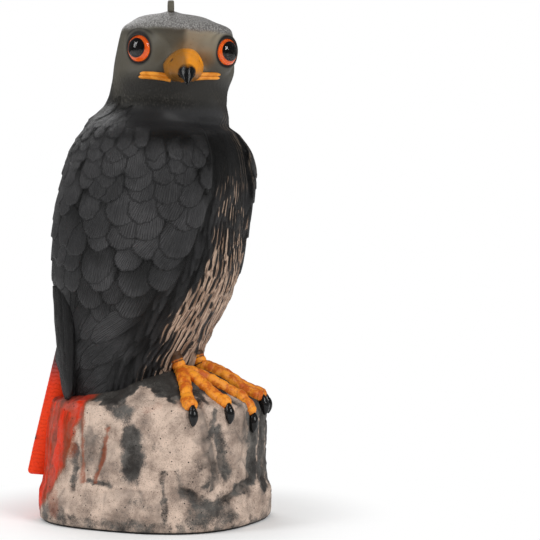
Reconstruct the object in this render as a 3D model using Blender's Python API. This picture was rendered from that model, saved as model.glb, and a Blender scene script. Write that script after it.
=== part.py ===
# Hawk decoy: a hollow, blow-moulded garden scarer about 406 mm tall.
#
# One moulded shell holds the rock, the feet, the body with its folded wings, the tail,
# the turned head with its hooked beak, and a hanging eye on the crown. Two domed eyes
# are plugged into sockets in the head, and a press-in plug closes the filling hole
# under the rock.
#
# Frame: metres, +Z up, the bird's chest faces -Y, its right wing is on -X. The origin
# lies on the ground, in the middle of the part's own box.

import math
from collections import namedtuple

import bmesh
import bpy
import numpy as np
from mathutils import Matrix, Vector

MM = 0.001
UP = Vector((0, 0, 1))
DRAWN = 1 * MM  # one unit in the tables of heights and half-widths below

# Moulding
WALL = 2.5 * MM
GAP = 0.3 * MM  # between two pieces that seat on each other
HEAD_TURN = math.radians(56)  # how far the head looks round to the bird's right
TURN_FROM = 300 * MM  # height where the neck starts to turn, as drawn
TURN_TO = 352 * MM  # height from which the whole section is turned, as drawn
SHARP_EDGE = math.radians(38)  # edges bent more than this stay crisp

# Main sizes across and along
BODY_HALF_WIDTH = 89.5 * MM  # at its widest, over both wings
BODY_HALF_DEPTH = 74 * MM  # from the body's middle to the breast or the back
ROCK_HALF_LENGTH = 88.8 * MM
ROCK_HALF_WIDTH = 81.6 * MM

# Wings
WING_LIP = math.radians(3)  # half the width of the step at a wing's leading edge
WING_STEP = 5.5 * MM  # how far the breast lies behind the wing
WING_TIP_THICKNESS = 6.5 * MM
WING_TIP_WIDTH = 16 * MM
WING_TIP_TOP = 184 * MM
WING_TIP_REACH = 73 * MM  # from the rock's middle to the tip
WING_TIP_FROM = math.radians(126)  # round from the chest, at its top
WING_TIP_TO = math.radians(135)

# Tail
TAIL_TOP = 160 * MM
TAIL_BOTTOM = 33.5 * MM
TAIL_HALF_WIDTH_TOP = 35 * MM
TAIL_HALF_WIDTH_BOTTOM = 52.5 * MM
TAIL_EDGE_BACK = 90 * MM  # how far behind the rock's middle its lower corners lie
TAIL_LEAN = 26 * MM  # how much further forward its top lies
TAIL_TUCK = 5 * MM  # how far its top edge dives under the back feathers
TAIL_CROWN = 15 * MM  # how far its middle bows out from its edges
TAIL_THICKNESS = 17 * MM
TAIL_SIDE = 3.2 * MM
TAIL_CORNER = 4 * MM
FEATHER_EDGES = (-1.0, -0.77, -0.39, 0.39, 0.77, 1.0)
FEATHER_GROOVE = 1.2 * MM
FEATHER_BOW = 1.0 * MM

# Face, measured from the point midway between the eyes
FACE_X = -28.3 * MM
FACE_Y = -41.2 * MM
FACE_HEIGHT = 366.6 * MM
FACE_TILT = math.radians(1.7)  # the bird's left eye sits a little lower
EYE_APART = 67.1 * MM
EYE_SPLAY = math.radians(39)
BEAK_REACH = 47.9 * MM
BEAK_DROP = 29.0 * MM  # the hook's point, below the eyes
BEAK_HEIGHT = 31.0 * MM
BEAK_HALF_WIDTH = 15.0 * MM
GAPE_DROP = 19.4 * MM
GAPE_RIDGE = 1.7 * MM
GAPE_SPACING = 3.2 * MM
GAPE_SUNK = 0.4 * MM  # how far each lip's middle lies inside the cheek
GAPE_FROM = math.radians(12)  # round from the face's own line
GAPE_TO = math.radians(41)
BROW_RADIUS = 2.8 * MM
BROW_SPAN = math.radians(170)  # how much of the eye's rim it follows

# Eyes
LENS_RADIUS = 10.0 * MM
LENS_HEIGHT = 6.6 * MM
LENS_RIM = 1.4 * MM
IRIS_THICKNESS = 0.8 * MM
PUPIL_RADIUS = 5.7 * MM
PUPIL_FLANGE_RADIUS = 8.0 * MM
PUPIL_FLANGE = 1.0 * MM
STEM_RADIUS = 2.5 * MM
STEM_LENGTH = 6.0 * MM
SOCKET_DEPTH = IRIS_THICKNESS + PUPIL_FLANGE + 3 * GAP  # below the back of the lens

# Feet
ANKLE_SIDE = 17.0 * MM
ANKLE_FORWARD = 33.0 * MM
LEG_RADIUS = 6.5 * MM
LEG_HEIGHT = 15 * MM
LEG_LEAN = 7 * MM
TOE_RADIUS = 6.2 * MM
TOE_SCUTES = 5
TOE_BEND = 3.5 * MM
RIGHT_TOES = (-3, 19, 40)  # degrees from straight ahead to the bird's right
LEFT_TOES = (-16, -33, -52)
CLAW_LENGTH = 16 * MM
CLAW_RADIUS = 3.4 * MM
CLAW_ROOT = 2.0 * MM  # how far it starts inside its toe
CLAW_PROUD = 1.2 * MM  # how far its middle stands out from the rock
ROCK_RIM = 92 * MM  # below this the rock's side is upright
TOE_RISE = 6 * MM  # from the rim up to where the toes bend down
TIP_NARROWS = 0.75  # share of its width that a wing tip loses on the way down
TIP_THINS = 0.7

# Hanging eye on the crown
EYELET_HEIGHT = 5.8 * MM  # above the crown
EYELET_LENGTH = 11 * MM
EYELET_THICKNESS = 4.6 * MM
EYELET_HOLE = 4.6 * MM
EYELET_FORWARD = 14 * MM
EYELET_ROOT = 5.5 * MM

# Filling hole and its plug
RECESS = 2.0 * MM  # the underside is hollowed, so the decoy stands on its rim
RECESS_MARGIN = 22 * MM
RECESS_SLOPE = 6 * MM
HOLE_RADIUS = 14 * MM
NECK_HEIGHT = 19 * MM
PLUG_LENGTH = 7 * MM
PLUG_WALL = 2.0 * MM
FLANGE_RADIUS = 17.5 * MM
FLANGE_THICKNESS = 1.8 * MM
CHAMFER = 0.6 * MM

# Sections of the body, neck and head, from inside the rock to the crown, as drawn on
# a millimetre grid with the eyes at DRAWN_EYES. When FACE_HEIGHT differs from that,
# the neck stretches and the head rides up. Up to the shoulders they widen and deepen
# with BODY_HALF_WIDTH and BODY_HALF_DEPTH. x and y place the section's middle, front
# and back reach along the way that it faces, side reaches across, and square rounds
# its front off like a circle at 2 and like a box above that.
Section = namedtuple("Section", "height x y front back side square")
SECTIONS = (
    Section(80.0, 1.0, 28.0, 36.0, 38.0, 46.0, 2.0),
    Section(100.0, 1.0, 27.0, 44.0, 44.0, 55.0, 2.2),
    Section(126.0, 1.6, 25.4, 56.5, 56.5, 61.9, 2.2),
    Section(146.0, 4.5, 18.8, 57.4, 57.9, 68.3, 2.1),
    Section(170.0, 6.5, 13.8, 65.8, 65.8, 76.8, 2.1),
    Section(194.0, 7.3, 10.7, 73.1, 73.1, 83.6, 2.0),
    Section(218.0, 8.9, 8.7, 74.0, 74.0, 87.2, 2.0),
    Section(250.0, 7.7, 3.1, 74.0, 74.0, 89.5, 2.0),
    Section(272.0, 7.9, -0.8, 71.7, 71.7, 89.0, 2.0),
    Section(288.0, 8.0, -2.0, 68.4, 68.4, 85.2, 2.0),
    Section(304.0, 10.4, -1.1, 57.3, 58.8, 77.7, 2.0),
    Section(312.0, 12.7, 3.0, 49.1, 49.7, 68.1, 2.0),
    Section(320.0, 11.2, -0.5, 49.3, 49.3, 55.4, 2.0),
    Section(328.0, 8.3, -4.7, 49.8, 49.8, 48.3, 2.1),
    Section(336.0, 4.1, -9.5, 45.9, 45.9, 47.4, 2.2),
    Section(352.0, -2.0, -18.0, 41.4, 42.4, 48.6, 2.3),
    Section(367.8, -3.3, -20.0, 35.0, 35.5, 47.1, 2.3),
    Section(383.5, -9.5, -24.7, 35.7, 37.1, 44.1, 2.5),
    Section(391.4, -10.0, -22.3, 32.5, 33.7, 36.3, 2.2),
    Section(396.4, -9.6, -20.4, 26.5, 27.4, 28.9, 2.0),
    Section(399.4, -10.0, -19.2, 15.5, 16.0, 16.6, 2.0),
    Section(400.4, -10.4, -19.0, 2.0, 2.0, 2.0, 2.0),
)
BACK_SQUARE = 2.1
DRAWN_SHOULDERS = 288 * DRAWN
DRAWN_EYES = 366.6 * DRAWN
DRAWN_HALF_WIDTH = max(section.side for section in SECTIONS) * DRAWN
DRAWN_HALF_DEPTH = max(section.front for section in SECTIONS) * DRAWN
BODY_RINGS = 21
HEAD_RINGS = 16
HEAD_FROM = 308 * MM  # as drawn
HOLLOW_FROM = 96 * MM  # foot of the body's hollow, inside the rock's
HOLLOW_STEP = 12 * MM  # from the neck's last ring of hollow to the head's first
BREAST_COLUMNS = 4
WING_COLUMNS = 15

# Leading edge of a wing: degrees round from the breast's middle at each height, and the
# share of WING_STEP there.
WING_EDGE_HEIGHTS = (80, 150, 170, 186, 201, 224, 247, 287, 306, 318)
WING_EDGE_DEGREES = (80, 66, 56, 45, 38, 32, 28, 26, 25.6, 25.6)
WING_EDGE_SHARES = (0, 0.1, 0.3, 0.5, 0.55, 0.8, 1.0, 1.0, 0.5, 0.0)

# Profile of the rock on the same grid: height, half-length, half-width, and how far its
# middle leans towards the bird's left. Its upper part rides up with ROCK_RIM, and the
# other two follow ROCK_HALF_LENGTH and ROCK_HALF_WIDTH.
ROCK_HEIGHTS = (0, 3, 12, 22, 30, 44, 64, 78, 88, 94, 99, 106, 112, 116, 119, 120.5, 121)
ROCK_LENGTHS = (86, 88, 88.6, 88.8, 86.5, 85, 84.6, 84, 83, 81, 71, 60, 50, 41, 31, 18, 2)
ROCK_WIDTHS = (79, 81, 81.6, 80.6, 78, 76.5, 76, 75, 73.5, 71, 62, 53, 45, 36, 27, 16, 2)
ROCK_LEANS = (0, 0, 0, 0, 0, 0.5, 1.6, 3, 4.4, 4.4, 4, 4, 4, 4, 4, 4, 4)
ROCK_SQUARE = 2.6
ROCK_RINGS = (0, 1.5, 6, 20, 28, 34, 46, 60, 74, 86, 93, 97, 102, 108, 114, 118.5, 121)
ROCK_COLUMNS = 46
DRAWN_WAIST = 44 * DRAWN
DRAWN_RIM = 92 * DRAWN
ROCK_LUMP = 0.8 * MM
ROCK_LUMP_PITCH = 21 * MM
ROCK_FOOT_FADE = 8 * MM  # plain height above the ground
ROCK_TOP_FADE = 20 * MM  # plain height below the rock's top
ROCK_CEILING = 9 * MM  # from the hollow's ceiling to the rock's top
CARVING_MARGIN = 6 * MM  # the hollow keeps this far above and below a carving
HOLLOW_COLUMNS = 20

# Carved features of the rock: degrees round from straight ahead towards the bird's
# right, half-width in degrees, lowest and highest millimetre, depth in millimetres.
Cleft = namedtuple("Cleft", "angle spread low high depth")
CLEFTS = (
    Cleft(30, 6, 36, 88, 3.2),
    Cleft(9, 10, 34, 100, 3.2),
    Cleft(-22, 7, 20, 74, 2.4),
    Cleft(-52, 8, 45, 96, 3.2),
    Cleft(-84, 7, 30, 90, 2.6),
    Cleft(-118, 7, 38, 90, 3.4),
    Cleft(28, 26, 24, 33, 2.6),
    Cleft(87, 6, 46, 84, 2.6),
    Cleft(103, 7, 36, 92, 3.0),
    Cleft(118, 7, 26, 66, 2.4),
)


def paint(name, colour, roughness, transmission=0.0):
    material = bpy.data.materials.new(name)
    material.use_nodes = True
    shader = material.node_tree.nodes["Principled BSDF"]
    shader.inputs["Base Color"].default_value = (*colour, 1.0)
    shader.inputs["Roughness"].default_value = roughness
    shader.inputs["Metallic"].default_value = 0.0
    shader.inputs["Transmission Weight"].default_value = transmission
    material.diffuse_color = (*colour, 1.0)
    return material


def follow(heights, values, at):
    """Value at a height, on a smooth curve through the given ones that never overshoots."""
    xs = np.asarray(heights, float)
    ys = np.asarray(values, float)
    at = min(max(at, xs[0]), xs[-1])
    steps = np.diff(xs)
    slopes = np.diff(ys) / steps
    rates = np.zeros(len(xs))
    rates[0], rates[-1] = slopes[0], slopes[-1]
    for i in range(1, len(xs) - 1):
        if slopes[i - 1] * slopes[i] > 0:
            near = 2 * steps[i] + steps[i - 1]
            far = steps[i] + 2 * steps[i - 1]
            rates[i] = (near + far) / (near / slopes[i - 1] + far / slopes[i])
    i = min(int(np.searchsorted(xs, at, side="right")) - 1, len(steps) - 1)
    u = (at - xs[i]) / steps[i]
    return (
        ys[i] * (1 + 2 * u) * (1 - u) ** 2
        + rates[i] * steps[i] * u * (1 - u) ** 2
        + ys[i + 1] * u * u * (3 - 2 * u)
        + rates[i + 1] * steps[i] * u * u * (u - 1)
    )


def ease(value):
    value = min(max(value, 0.0), 1.0)
    return value * value * (3 - 2 * value)


def heading(angle):
    """Level unit vector. The angle runs from the chest's way to the bird's right."""
    return Vector((-math.sin(angle), -math.cos(angle), 0))


def turns(count):
    return [2 * math.pi * k / count for k in range(count)]


def polar_reach(along, across, angle, square):
    """How far a rounded box of these half-sizes reaches at an angle from its length."""
    ahead = abs(math.cos(angle)) / along
    beside = abs(math.sin(angle)) / across
    return (ahead**square + beside**square) ** (-1 / square)


def moved(height, foot, mark, now):
    """A drawn height once its mark has moved: stretched from the foot, shifted above."""
    share = min(max((height - foot) / (mark - foot), 0.0), 1.0)
    return height + (now - mark) * share


def raised(height):
    """Where a drawn height of the body lies, with the eyes at FACE_HEIGHT."""
    return moved(height, DRAWN_SHOULDERS, DRAWN_EYES, FACE_HEIGHT)


def rock_height(units):
    """Where a height of the rock's tables lies, with its rim at ROCK_RIM."""
    return moved(units * DRAWN, DRAWN_WAIST, DRAWN_RIM, ROCK_RIM)


CROWN = raised(SECTIONS[-1].height * DRAWN)
ROCK_TOP = rock_height(ROCK_HEIGHTS[-1])


def section_at(height):
    """The body's section at a height in metres, with its sizes in metres."""
    heights = [raised(section.height * DRAWN) for section in SECTIONS]
    columns = list(zip(*SECTIONS))[1:]
    x, y, front, back, side, square = (follow(heights, column, height) for column in columns)
    # The head keeps its size when the body changes, and the neck leads over to it.
    shoulders = DRAWN_SHOULDERS
    share = 1 - ease((height - shoulders) / (raised(TURN_TO) - shoulders))
    wider = 1 + (BODY_HALF_WIDTH / DRAWN_HALF_WIDTH - 1) * share
    deeper = 1 + (BODY_HALF_DEPTH / DRAWN_HALF_DEPTH - 1) * share
    reaches = [front * DRAWN * deeper, back * DRAWN * deeper, side * DRAWN * wider]
    return Section(height, x * DRAWN, y * DRAWN, *reaches, square)


def skin_point(height, angle, inset=0.0, section=None):
    """A point on the body's skin, or a way inside it."""
    section = section or section_at(height)
    turned_from, turned_to = raised(TURN_FROM), raised(TURN_TO)
    turn = HEAD_TURN * ease((height - turned_from) / (turned_to - turned_from))
    ahead = math.cos(angle - turn) > 0
    along = section.front if ahead else section.back
    square = section.square if ahead else BACK_SQUARE
    reach = polar_reach(along, section.side, angle - turn, square) - inset
    return Vector((section.x, section.y, height)) + heading(angle) * max(reach, MM)


def wing_edge(height):
    """Angle of the wing's leading edge at a height, and the depth of the step there."""
    heights = [raised(units * DRAWN) for units in WING_EDGE_HEIGHTS]
    degrees = follow(heights, WING_EDGE_DEGREES, height)
    share = follow(heights, WING_EDGE_SHARES, height)
    return math.radians(degrees), share * WING_STEP


def body_ring(height):
    """Skin points at a height. Columns crowd at the leading edge of each wing."""
    edge, step = wing_edge(height)
    breast = np.linspace(0, edge - WING_LIP, BREAST_COLUMNS + 1)
    wing = np.linspace(edge + WING_LIP, math.pi, WING_COLUMNS + 1)
    angles = [*breast, *wing, *(-wing[-2::-1]), *(-breast[:0:-1])]
    return [skin_point(height, angle, step if abs(angle) < edge else 0.0) for angle in angles]


def rock_sizes(height):
    """Half-length, half-width and lean of the rock at a height."""
    heights = [rock_height(units) for units in ROCK_HEIGHTS]
    along = follow(heights, ROCK_LENGTHS, height) / max(ROCK_LENGTHS) * ROCK_HALF_LENGTH
    across = follow(heights, ROCK_WIDTHS, height) / max(ROCK_WIDTHS) * ROCK_HALF_WIDTH
    return along, across, follow(heights, ROCK_LEANS, height) * DRAWN


def cleft_depth(height, angle):
    depth = 0.0
    for cleft in CLEFTS:
        around = (math.degrees(angle) - cleft.angle + 180) % 360 - 180
        low, high = rock_height(cleft.low), rock_height(cleft.high)
        middle = (low + high) / 2
        upward = (height - middle) / (high - middle)
        if abs(around) < cleft.spread and abs(upward) < 1:
            shape = math.cos(around / cleft.spread * math.pi / 2) * (1 - upward**4)
            depth = max(depth, cleft.depth * DRAWN * shape)
    return depth


def rock_point(height, angle, inset=0.0):
    along, across, lean = rock_sizes(height)
    reach = polar_reach(along, across, angle, ROCK_SQUARE) - inset
    return Vector((lean, 0, height)) + heading(angle) * max(reach, MM)


def carved_rock_point(height, angle):
    wave = math.sin(3 * angle + 1.1) * math.cos(height / ROCK_LUMP_PITCH + 2 * angle)
    carving = (cleft_depth(height, angle) - ROCK_LUMP * wave) * ease(height / ROCK_FOOT_FADE)
    fade = ease((ROCK_TOP - height) / ROCK_TOP_FADE)
    return rock_point(height, angle, carving * fade)


def rock_top(x, y):
    """Height of the rock's surface over a point of the plan, found by halving."""
    low = DRAWN_WAIST
    high = ROCK_TOP
    for _ in range(30):
        middle = (low + high) / 2
        along, across, lean = rock_sizes(middle)
        angle = math.atan2(lean - x, -y)
        if math.hypot(x - lean, y) < polar_reach(along, across, angle, ROCK_SQUARE):
            low = middle
        else:
            high = middle
    return low


def face_point(ahead, across, rise):
    """A point of the face, from midway between the eyes."""
    forward = heading(HEAD_TURN)
    right = heading(HEAD_TURN + math.pi / 2)
    tilted_right = right * math.cos(FACE_TILT) + UP * math.sin(FACE_TILT)
    tilted_up = UP * math.cos(FACE_TILT) - right * math.sin(FACE_TILT)
    middle = Vector((FACE_X, FACE_Y, FACE_HEIGHT))
    return middle + forward * ahead + tilted_right * across + tilted_up * rise


def loft(name, rings, material):
    """A closed solid through flat-ended rings of equal length."""
    count = len(rings[0])
    points = [point for ring in rings for point in ring]
    faces = []
    for row in range(len(rings) - 1):
        for i in range(count):
            j = (i + 1) % count
            low, high = row * count, (row + 1) * count
            faces.append((low + i, low + j, high + j, high + i))
    faces.append(tuple(reversed(range(count))))
    faces.append(tuple(range(len(points) - count, len(points))))
    mesh = bpy.data.meshes.new(name)
    mesh.from_pydata(points, [], faces)
    mesh.materials.append(material)
    face_outward(mesh)
    solid = bpy.data.objects.new(name, mesh)
    bpy.context.scene.collection.objects.link(solid)
    return solid


def face_outward(mesh):
    """Turns the faces round if the solid's signed volume comes out negative."""
    mesh.calc_loop_triangles()
    volume = 0.0
    for triangle in mesh.loop_triangles:
        a, b, c = (mesh.vertices[i].co for i in triangle.vertices)
        volume += a.dot(b.cross(c))
    if volume < 0:
        mesh.flip_normals()


def tube(name, path, radii, sides, material):
    """A round bar along a path, with a radius at each of its points."""
    rings = []
    across = (path[1] - path[0]).orthogonal().normalized()
    for i, point in enumerate(path):
        along = (path[min(i + 1, len(path) - 1)] - path[max(i - 1, 0)]).normalized()
        # Each ring keeps the last one's heading, so that the sides never twist.
        across = (across - along * across.dot(along)).normalized()
        up = along.cross(across)
        ring = [point + radii[i] * (across * math.cos(t) + up * math.sin(t)) for t in turns(sides)]
        rings.append(ring)
    return loft(name, rings, material)


def turned(name, profile, frame, material, sides):
    """A solid turned from (radius, height) pairs, with its axis along the frame's Z."""
    rings = []
    for radius, height in profile:
        rings.append([frame @ Vector((*(radius * heading(t)).xy, height)) for t in turns(sides)])
    return loft(name, rings, material)


def combine(target, operation, tools):
    """Joins the tools to the target, or cuts them out of it, and removes the tools."""
    for tool in tools:
        change = target.modifiers.new(tool.name, "BOOLEAN")
        change.operation = operation
        change.solver = "EXACT"
        change.object = tool
        if operation == "UNION":
            change.material_mode = "TRANSFER"
        graph = bpy.context.evaluated_depsgraph_get()
        mesh = bpy.data.meshes.new_from_object(target.evaluated_get(graph))
        target.modifiers.clear()
        target.data = mesh
        bpy.data.objects.remove(tool)
    target.data.name = target.name


def keep_outer_skin(solid):
    """Fills the small sealed spaces between joined shapes: only the largest skin stays."""
    mesh = bmesh.new()
    mesh.from_mesh(solid.data)
    left = set(mesh.verts)
    skins = []
    while left:
        edge = [left.pop()]
        skin = set(edge)
        while edge:
            vertex = edge.pop()
            near = {link.other_vert(vertex) for link in vertex.link_edges} & left
            left -= near
            skin |= near
            edge += near
        skins.append(skin)
    skins.sort(key=len)
    for skin in skins[:-1]:
        bmesh.ops.delete(mesh, geom=list(skin), context="VERTS")
    mesh.to_mesh(solid.data)
    mesh.free()


def finish(solid, name, origin=None):
    """Names the solid, shades it smooth apart from its sharp edges, and sets its origin."""
    solid.name = name
    solid.data.name = name
    solid.data.shade_smooth()
    solid.data.set_sharp_from_angle(angle=SHARP_EDGE)
    if origin is not None:
        solid.data.transform(Matrix.Translation(-origin))
        solid.location = origin


def make_body(material):
    head_from = raised(HEAD_FROM)
    heights = list(np.linspace(SECTIONS[0].height * DRAWN, head_from, BODY_RINGS))
    # Rings close up towards the crown, where the skin turns over.
    for i in range(1, HEAD_RINGS + 1):
        share = math.sin(i / HEAD_RINGS * math.pi / 2) ** 1.1
        heights.append(head_from + (CROWN - head_from) * share)
    return loft("body", [body_ring(height) for height in heights], material)


def make_rock(material):
    rings = []
    for height in map(rock_height, ROCK_RINGS):
        rings.append([carved_rock_point(height, turn) for turn in turns(ROCK_COLUMNS)])
    return loft("rock", rings, material)


def make_wing_tip(side, material):
    """The long feathers of a folded wing, which taper down over the rock's shoulder."""
    start = skin_point(WING_TIP_TOP, side * WING_TIP_FROM, WING_TIP_THICKNESS)
    plan = heading(side * WING_TIP_TO) * WING_TIP_REACH
    end = Vector((plan.x, plan.y, rock_top(plan.x, plan.y)))
    rings = []
    steps = 9
    for i in range(steps + 1):
        u = i / steps
        angle = side * (WING_TIP_FROM + (WING_TIP_TO - WING_TIP_FROM) * u)
        outward, tangent = heading(angle), heading(angle + math.pi / 2)
        middle = start.lerp(end, u)
        wide = WING_TIP_WIDTH * (1 - TIP_NARROWS * u**1.6)
        thick = WING_TIP_THICKNESS * (1 - TIP_THINS * u * u)
        ring = []
        for t in turns(12):
            ring.append(middle + tangent * wide * math.cos(t) + outward * thick * math.sin(t))
        rings.append(ring)
    return loft("wing tip", rings, material)


def tail_ring(height, columns, inset):
    """The tail's outline at a height: its feathered back, then its plain inner side."""
    u = (height - TAIL_BOTTOM) / (TAIL_TOP - TAIL_BOTTOM)
    half = TAIL_HALF_WIDTH_BOTTOM + (TAIL_HALF_WIDTH_TOP - TAIL_HALF_WIDTH_BOTTOM) * u
    rounding = 1 - min((height - TAIL_BOTTOM) / TAIL_CORNER, 1.0)
    half -= inset + TAIL_CORNER * (1 - math.sqrt(1 - rounding**2))
    back = TAIL_EDGE_BACK - TAIL_LEAN * u - TAIL_TUCK * ease((u - 0.85) / 0.15) - inset
    ring = []
    for share, proud in columns:
        bow = TAIL_CROWN * (1 - share * share) + proud * min(1.0, 4 * u + 0.3)
        ring.append(Vector((TAIL_SIDE - share * half, back + bow, height)))
    for share in (1.0, 0.6, 0.0, -0.6, -1.0):
        bow = TAIL_CROWN * 0.3 * (1 - share * share) - TAIL_THICKNESS
        ring.append(Vector((TAIL_SIDE - share * half * 0.98, back + bow, height)))
    return ring


def make_tail(material):
    """A fan of five overlapping feathers, bowed across and split by fine grooves."""
    columns = []
    for left, right in zip(FEATHER_EDGES, FEATHER_EDGES[1:]):
        slope = min(0.02, (right - left) / 8)
        if left != FEATHER_EDGES[0]:
            columns.append((left, -FEATHER_GROOVE))
        columns.append((left + slope, 0.0))
        columns.append(((left + right) / 2, FEATHER_BOW))
        columns.append((right - slope, 0.0))
    corner = [TAIL_BOTTOM + TAIL_CORNER * share for share in (0, 0.2, 0.55)]
    heights = [*corner, *np.linspace(TAIL_BOTTOM + TAIL_CORNER, TAIL_TOP, 9)]
    return loft("tail", [tail_ring(height, columns, 0.0) for height in heights], material)


def make_beak(material, tip_material):
    """Sections across the face's own line, as shares of the beak's reach and height."""
    profile = (
        (-0.03, 1.05, 0.05, 1.0),
        (0.2, 1.0, 0.06, 0.96),
        (0.42, 0.9, 0.07, 0.8),
        (0.65, 0.74, 0.09, 0.61),
        (0.81, 0.6, 0.1, 0.45),
        (0.92, 0.46, 0.07, 0.3),
        (0.97, 0.3, 0.02, 0.19),
        (0.99, 0.14, -0.02, 0.1),
        (1.0, 0.03, -0.03, 0.035),
    )
    rings = []
    for ahead, top, bottom, half in profile:
        middle = BEAK_HEIGHT * (top + bottom) / 2 - BEAK_DROP
        tall = BEAK_HEIGHT * (top - bottom) / 2
        ring = []
        for t in turns(14):
            wide = BEAK_HALF_WIDTH * half * math.cos(t) * (1 - 0.28 * math.sin(t))
            ring.append(face_point(BEAK_REACH * ahead, wide, middle + tall * math.sin(t)))
        rings.append(ring)
    beak = loft("beak", rings, material)
    beak.data.materials.append(tip_material)
    line = face_point(BEAK_REACH * 0.8, 0, 0).dot(heading(HEAD_TURN))
    for face in beak.data.polygons:
        if face.center.dot(heading(HEAD_TURN)) > line:
            face.material_index = 1
    return beak


def make_gape(side, lift, material):
    """One lip of the mouth line, laid on the cheek."""
    height = FACE_HEIGHT - GAPE_DROP + lift
    path = []
    radii = []
    steps = 7
    for i in range(steps + 1):
        angle = HEAD_TURN + side * (GAPE_FROM + (GAPE_TO - GAPE_FROM) * i / steps)
        path.append(skin_point(height, angle, GAPE_SUNK))
        radii.append(GAPE_RIDGE * (1.0 if i < steps else 0.45))
    return tube("gape", path, radii, 6, material)


def eye_frame(side):
    """Frame on the back of an eye's lens, with its Z axis looking out of the eye."""
    centre = face_point(0, side * EYE_APART / 2, 0)
    out = heading(HEAD_TURN + side * EYE_SPLAY)
    return Matrix.Translation(centre) @ out.to_track_quat("Z", "Y").to_matrix().to_4x4()


def make_brow(side, material):
    """The ridge that shades an eye from above."""
    centre = eye_frame(side).translation
    out = heading(HEAD_TURN + side * EYE_SPLAY)
    level = UP.cross(out)
    reach = LENS_RADIUS + BROW_RADIUS * 0.9
    path = []
    radii = []
    steps = 10
    for i in range(steps + 1):
        u = i / steps
        turn = math.pi / 2 + BROW_SPAN * (u - 0.5)
        swell = math.sin(math.pi * u)
        middle = centre + out * BROW_RADIUS * (0.6 * swell - 0.9)
        path.append(middle + level * reach * math.cos(turn) + UP * reach * math.sin(turn))
        radii.append(BROW_RADIUS * (0.3 + 0.7 * swell))
    return tube("brow", path, radii, 10, material)


def foot_centre(side):
    return Vector((-side * ANKLE_SIDE, -ANKLE_FORWARD, 0))


def toe_path(side, degrees):
    """Points along a toe, from the ankle over the rock's top and down over its rim."""
    rim = rock_point((ROCK_RIM + TOE_RISE), math.radians(degrees))
    steps = 2 * TOE_SCUTES
    path = []
    for i in range(steps + 1):
        u = i / steps
        plan = foot_centre(side).lerp(Vector((rim.x, rim.y, 0)), u)
        height = rock_top(plan.x, plan.y) + TOE_RADIUS * (0.2 - 0.1 * u * u)
        path.append(Vector((plan.x, plan.y, height)))
    end = rock_point(ROCK_RIM, math.radians(degrees), -CLAW_PROUD)
    path.append(Vector((end.x, end.y, (ROCK_RIM + TOE_RISE) - TOE_BEND)))
    return path


def make_toe(side, degrees, material):
    path = toe_path(side, degrees)
    radii = []
    for i in range(len(path)):
        scute = 1.0 if i % 2 else 0.88
        taper = 1.0 - 0.15 * i / (len(path) - 1)
        radii.append(TOE_RADIUS * scute * taper)
    radii[-1] *= 0.65
    return tube("toe", path, radii, 8, material)


def make_claw(side, degrees, material):
    """An almond-shaped claw that hooks down over the rock's rim."""
    tip = toe_path(side, degrees)[-1]
    steps = 6
    path = []
    radii = []
    for i in range(steps + 1):
        u = i / steps
        height = tip.z + CLAW_ROOT - CLAW_LENGTH * u
        point = rock_point(min(height, ROCK_RIM), math.radians(degrees), -CLAW_PROUD)
        path.append(Vector((point.x, point.y, height)))
        radii.append(CLAW_RADIUS * (0.16 + 0.84 * math.sin(math.pi * (0.06 + 0.9 * u)) ** 0.8))
    return tube("claw", path, radii, 6, material)


def make_leg(side, material):
    """The short shank between the thigh feathers and the toes."""
    foot = foot_centre(side)
    ground = rock_top(foot.x, foot.y)
    path = []
    for share in (-0.25, 0.2, 0.6, 1.0):
        path.append(foot + UP * (ground + LEG_HEIGHT * share) - heading(0) * LEG_LEAN * share)
    return tube("leg", path, [LEG_RADIUS * k for k in (0.95, 1.05, 0.95, 1.0)], 10, material)


def eyelet_foot():
    crown = section_at(CROWN)
    return Vector((crown.x, crown.y, 0)) + heading(HEAD_TURN) * EYELET_FORWARD


def make_eyelet(material):
    """The hanging eye: a rounded tab in the moulding's parting plane, with a hole."""
    half = EYELET_LENGTH / 2
    middle = CROWN + EYELET_HEIGHT - half
    outline = []
    for k in range(13):
        outline.append((half * math.cos(math.pi * k / 12), half * math.sin(math.pi * k / 12) + middle))
    outline += [(-half, CROWN - EYELET_ROOT), (half, CROWN - EYELET_ROOT)]
    forward = heading(HEAD_TURN)
    right = heading(HEAD_TURN + math.pi / 2)
    rings = []
    for across in (-EYELET_THICKNESS / 2, EYELET_THICKNESS / 2):
        rings.append([eyelet_foot() + forward * a + right * across + UP * z for a, z in outline])
    return loft("eyelet", rings, material)


def make_eyelet_hole(material):
    rise = CROWN + EYELET_HEIGHT - EYELET_LENGTH / 2 + CHAMFER
    turn = heading(HEAD_TURN + math.pi / 2).to_track_quat("Z", "Y").to_matrix().to_4x4()
    frame = Matrix.Translation(eyelet_foot() + UP * rise) @ turn
    profile = [(EYELET_HOLE / 2, -EYELET_THICKNESS), (EYELET_HOLE / 2, EYELET_THICKNESS)]
    return turned("eyelet hole", profile, frame, material, 16)


def body_hollow_ring(height):
    """Inner points a wall's thickness inside the skin, clear of what lies just above and below."""
    edge, step = wing_edge(height)
    lowest = SECTIONS[0].height * DRAWN
    near = [section_at(min(max(height + d, lowest), CROWN)) for d in (-WALL, 0, WALL)]
    section = Section(
        height,
        near[1].x,
        near[1].y,
        min(one.front for one in near),
        min(one.back for one in near),
        min(one.side for one in near),
        near[1].square,
    )
    ring = []
    for turn in turns(HOLLOW_COLUMNS):
        around = min(turn, 2 * math.pi - turn)
        inset = WALL + 1 * MM + (step if around < edge + math.radians(18) else 0.0)
        ring.append(skin_point(height, turn, inset, section))
    return ring


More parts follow.
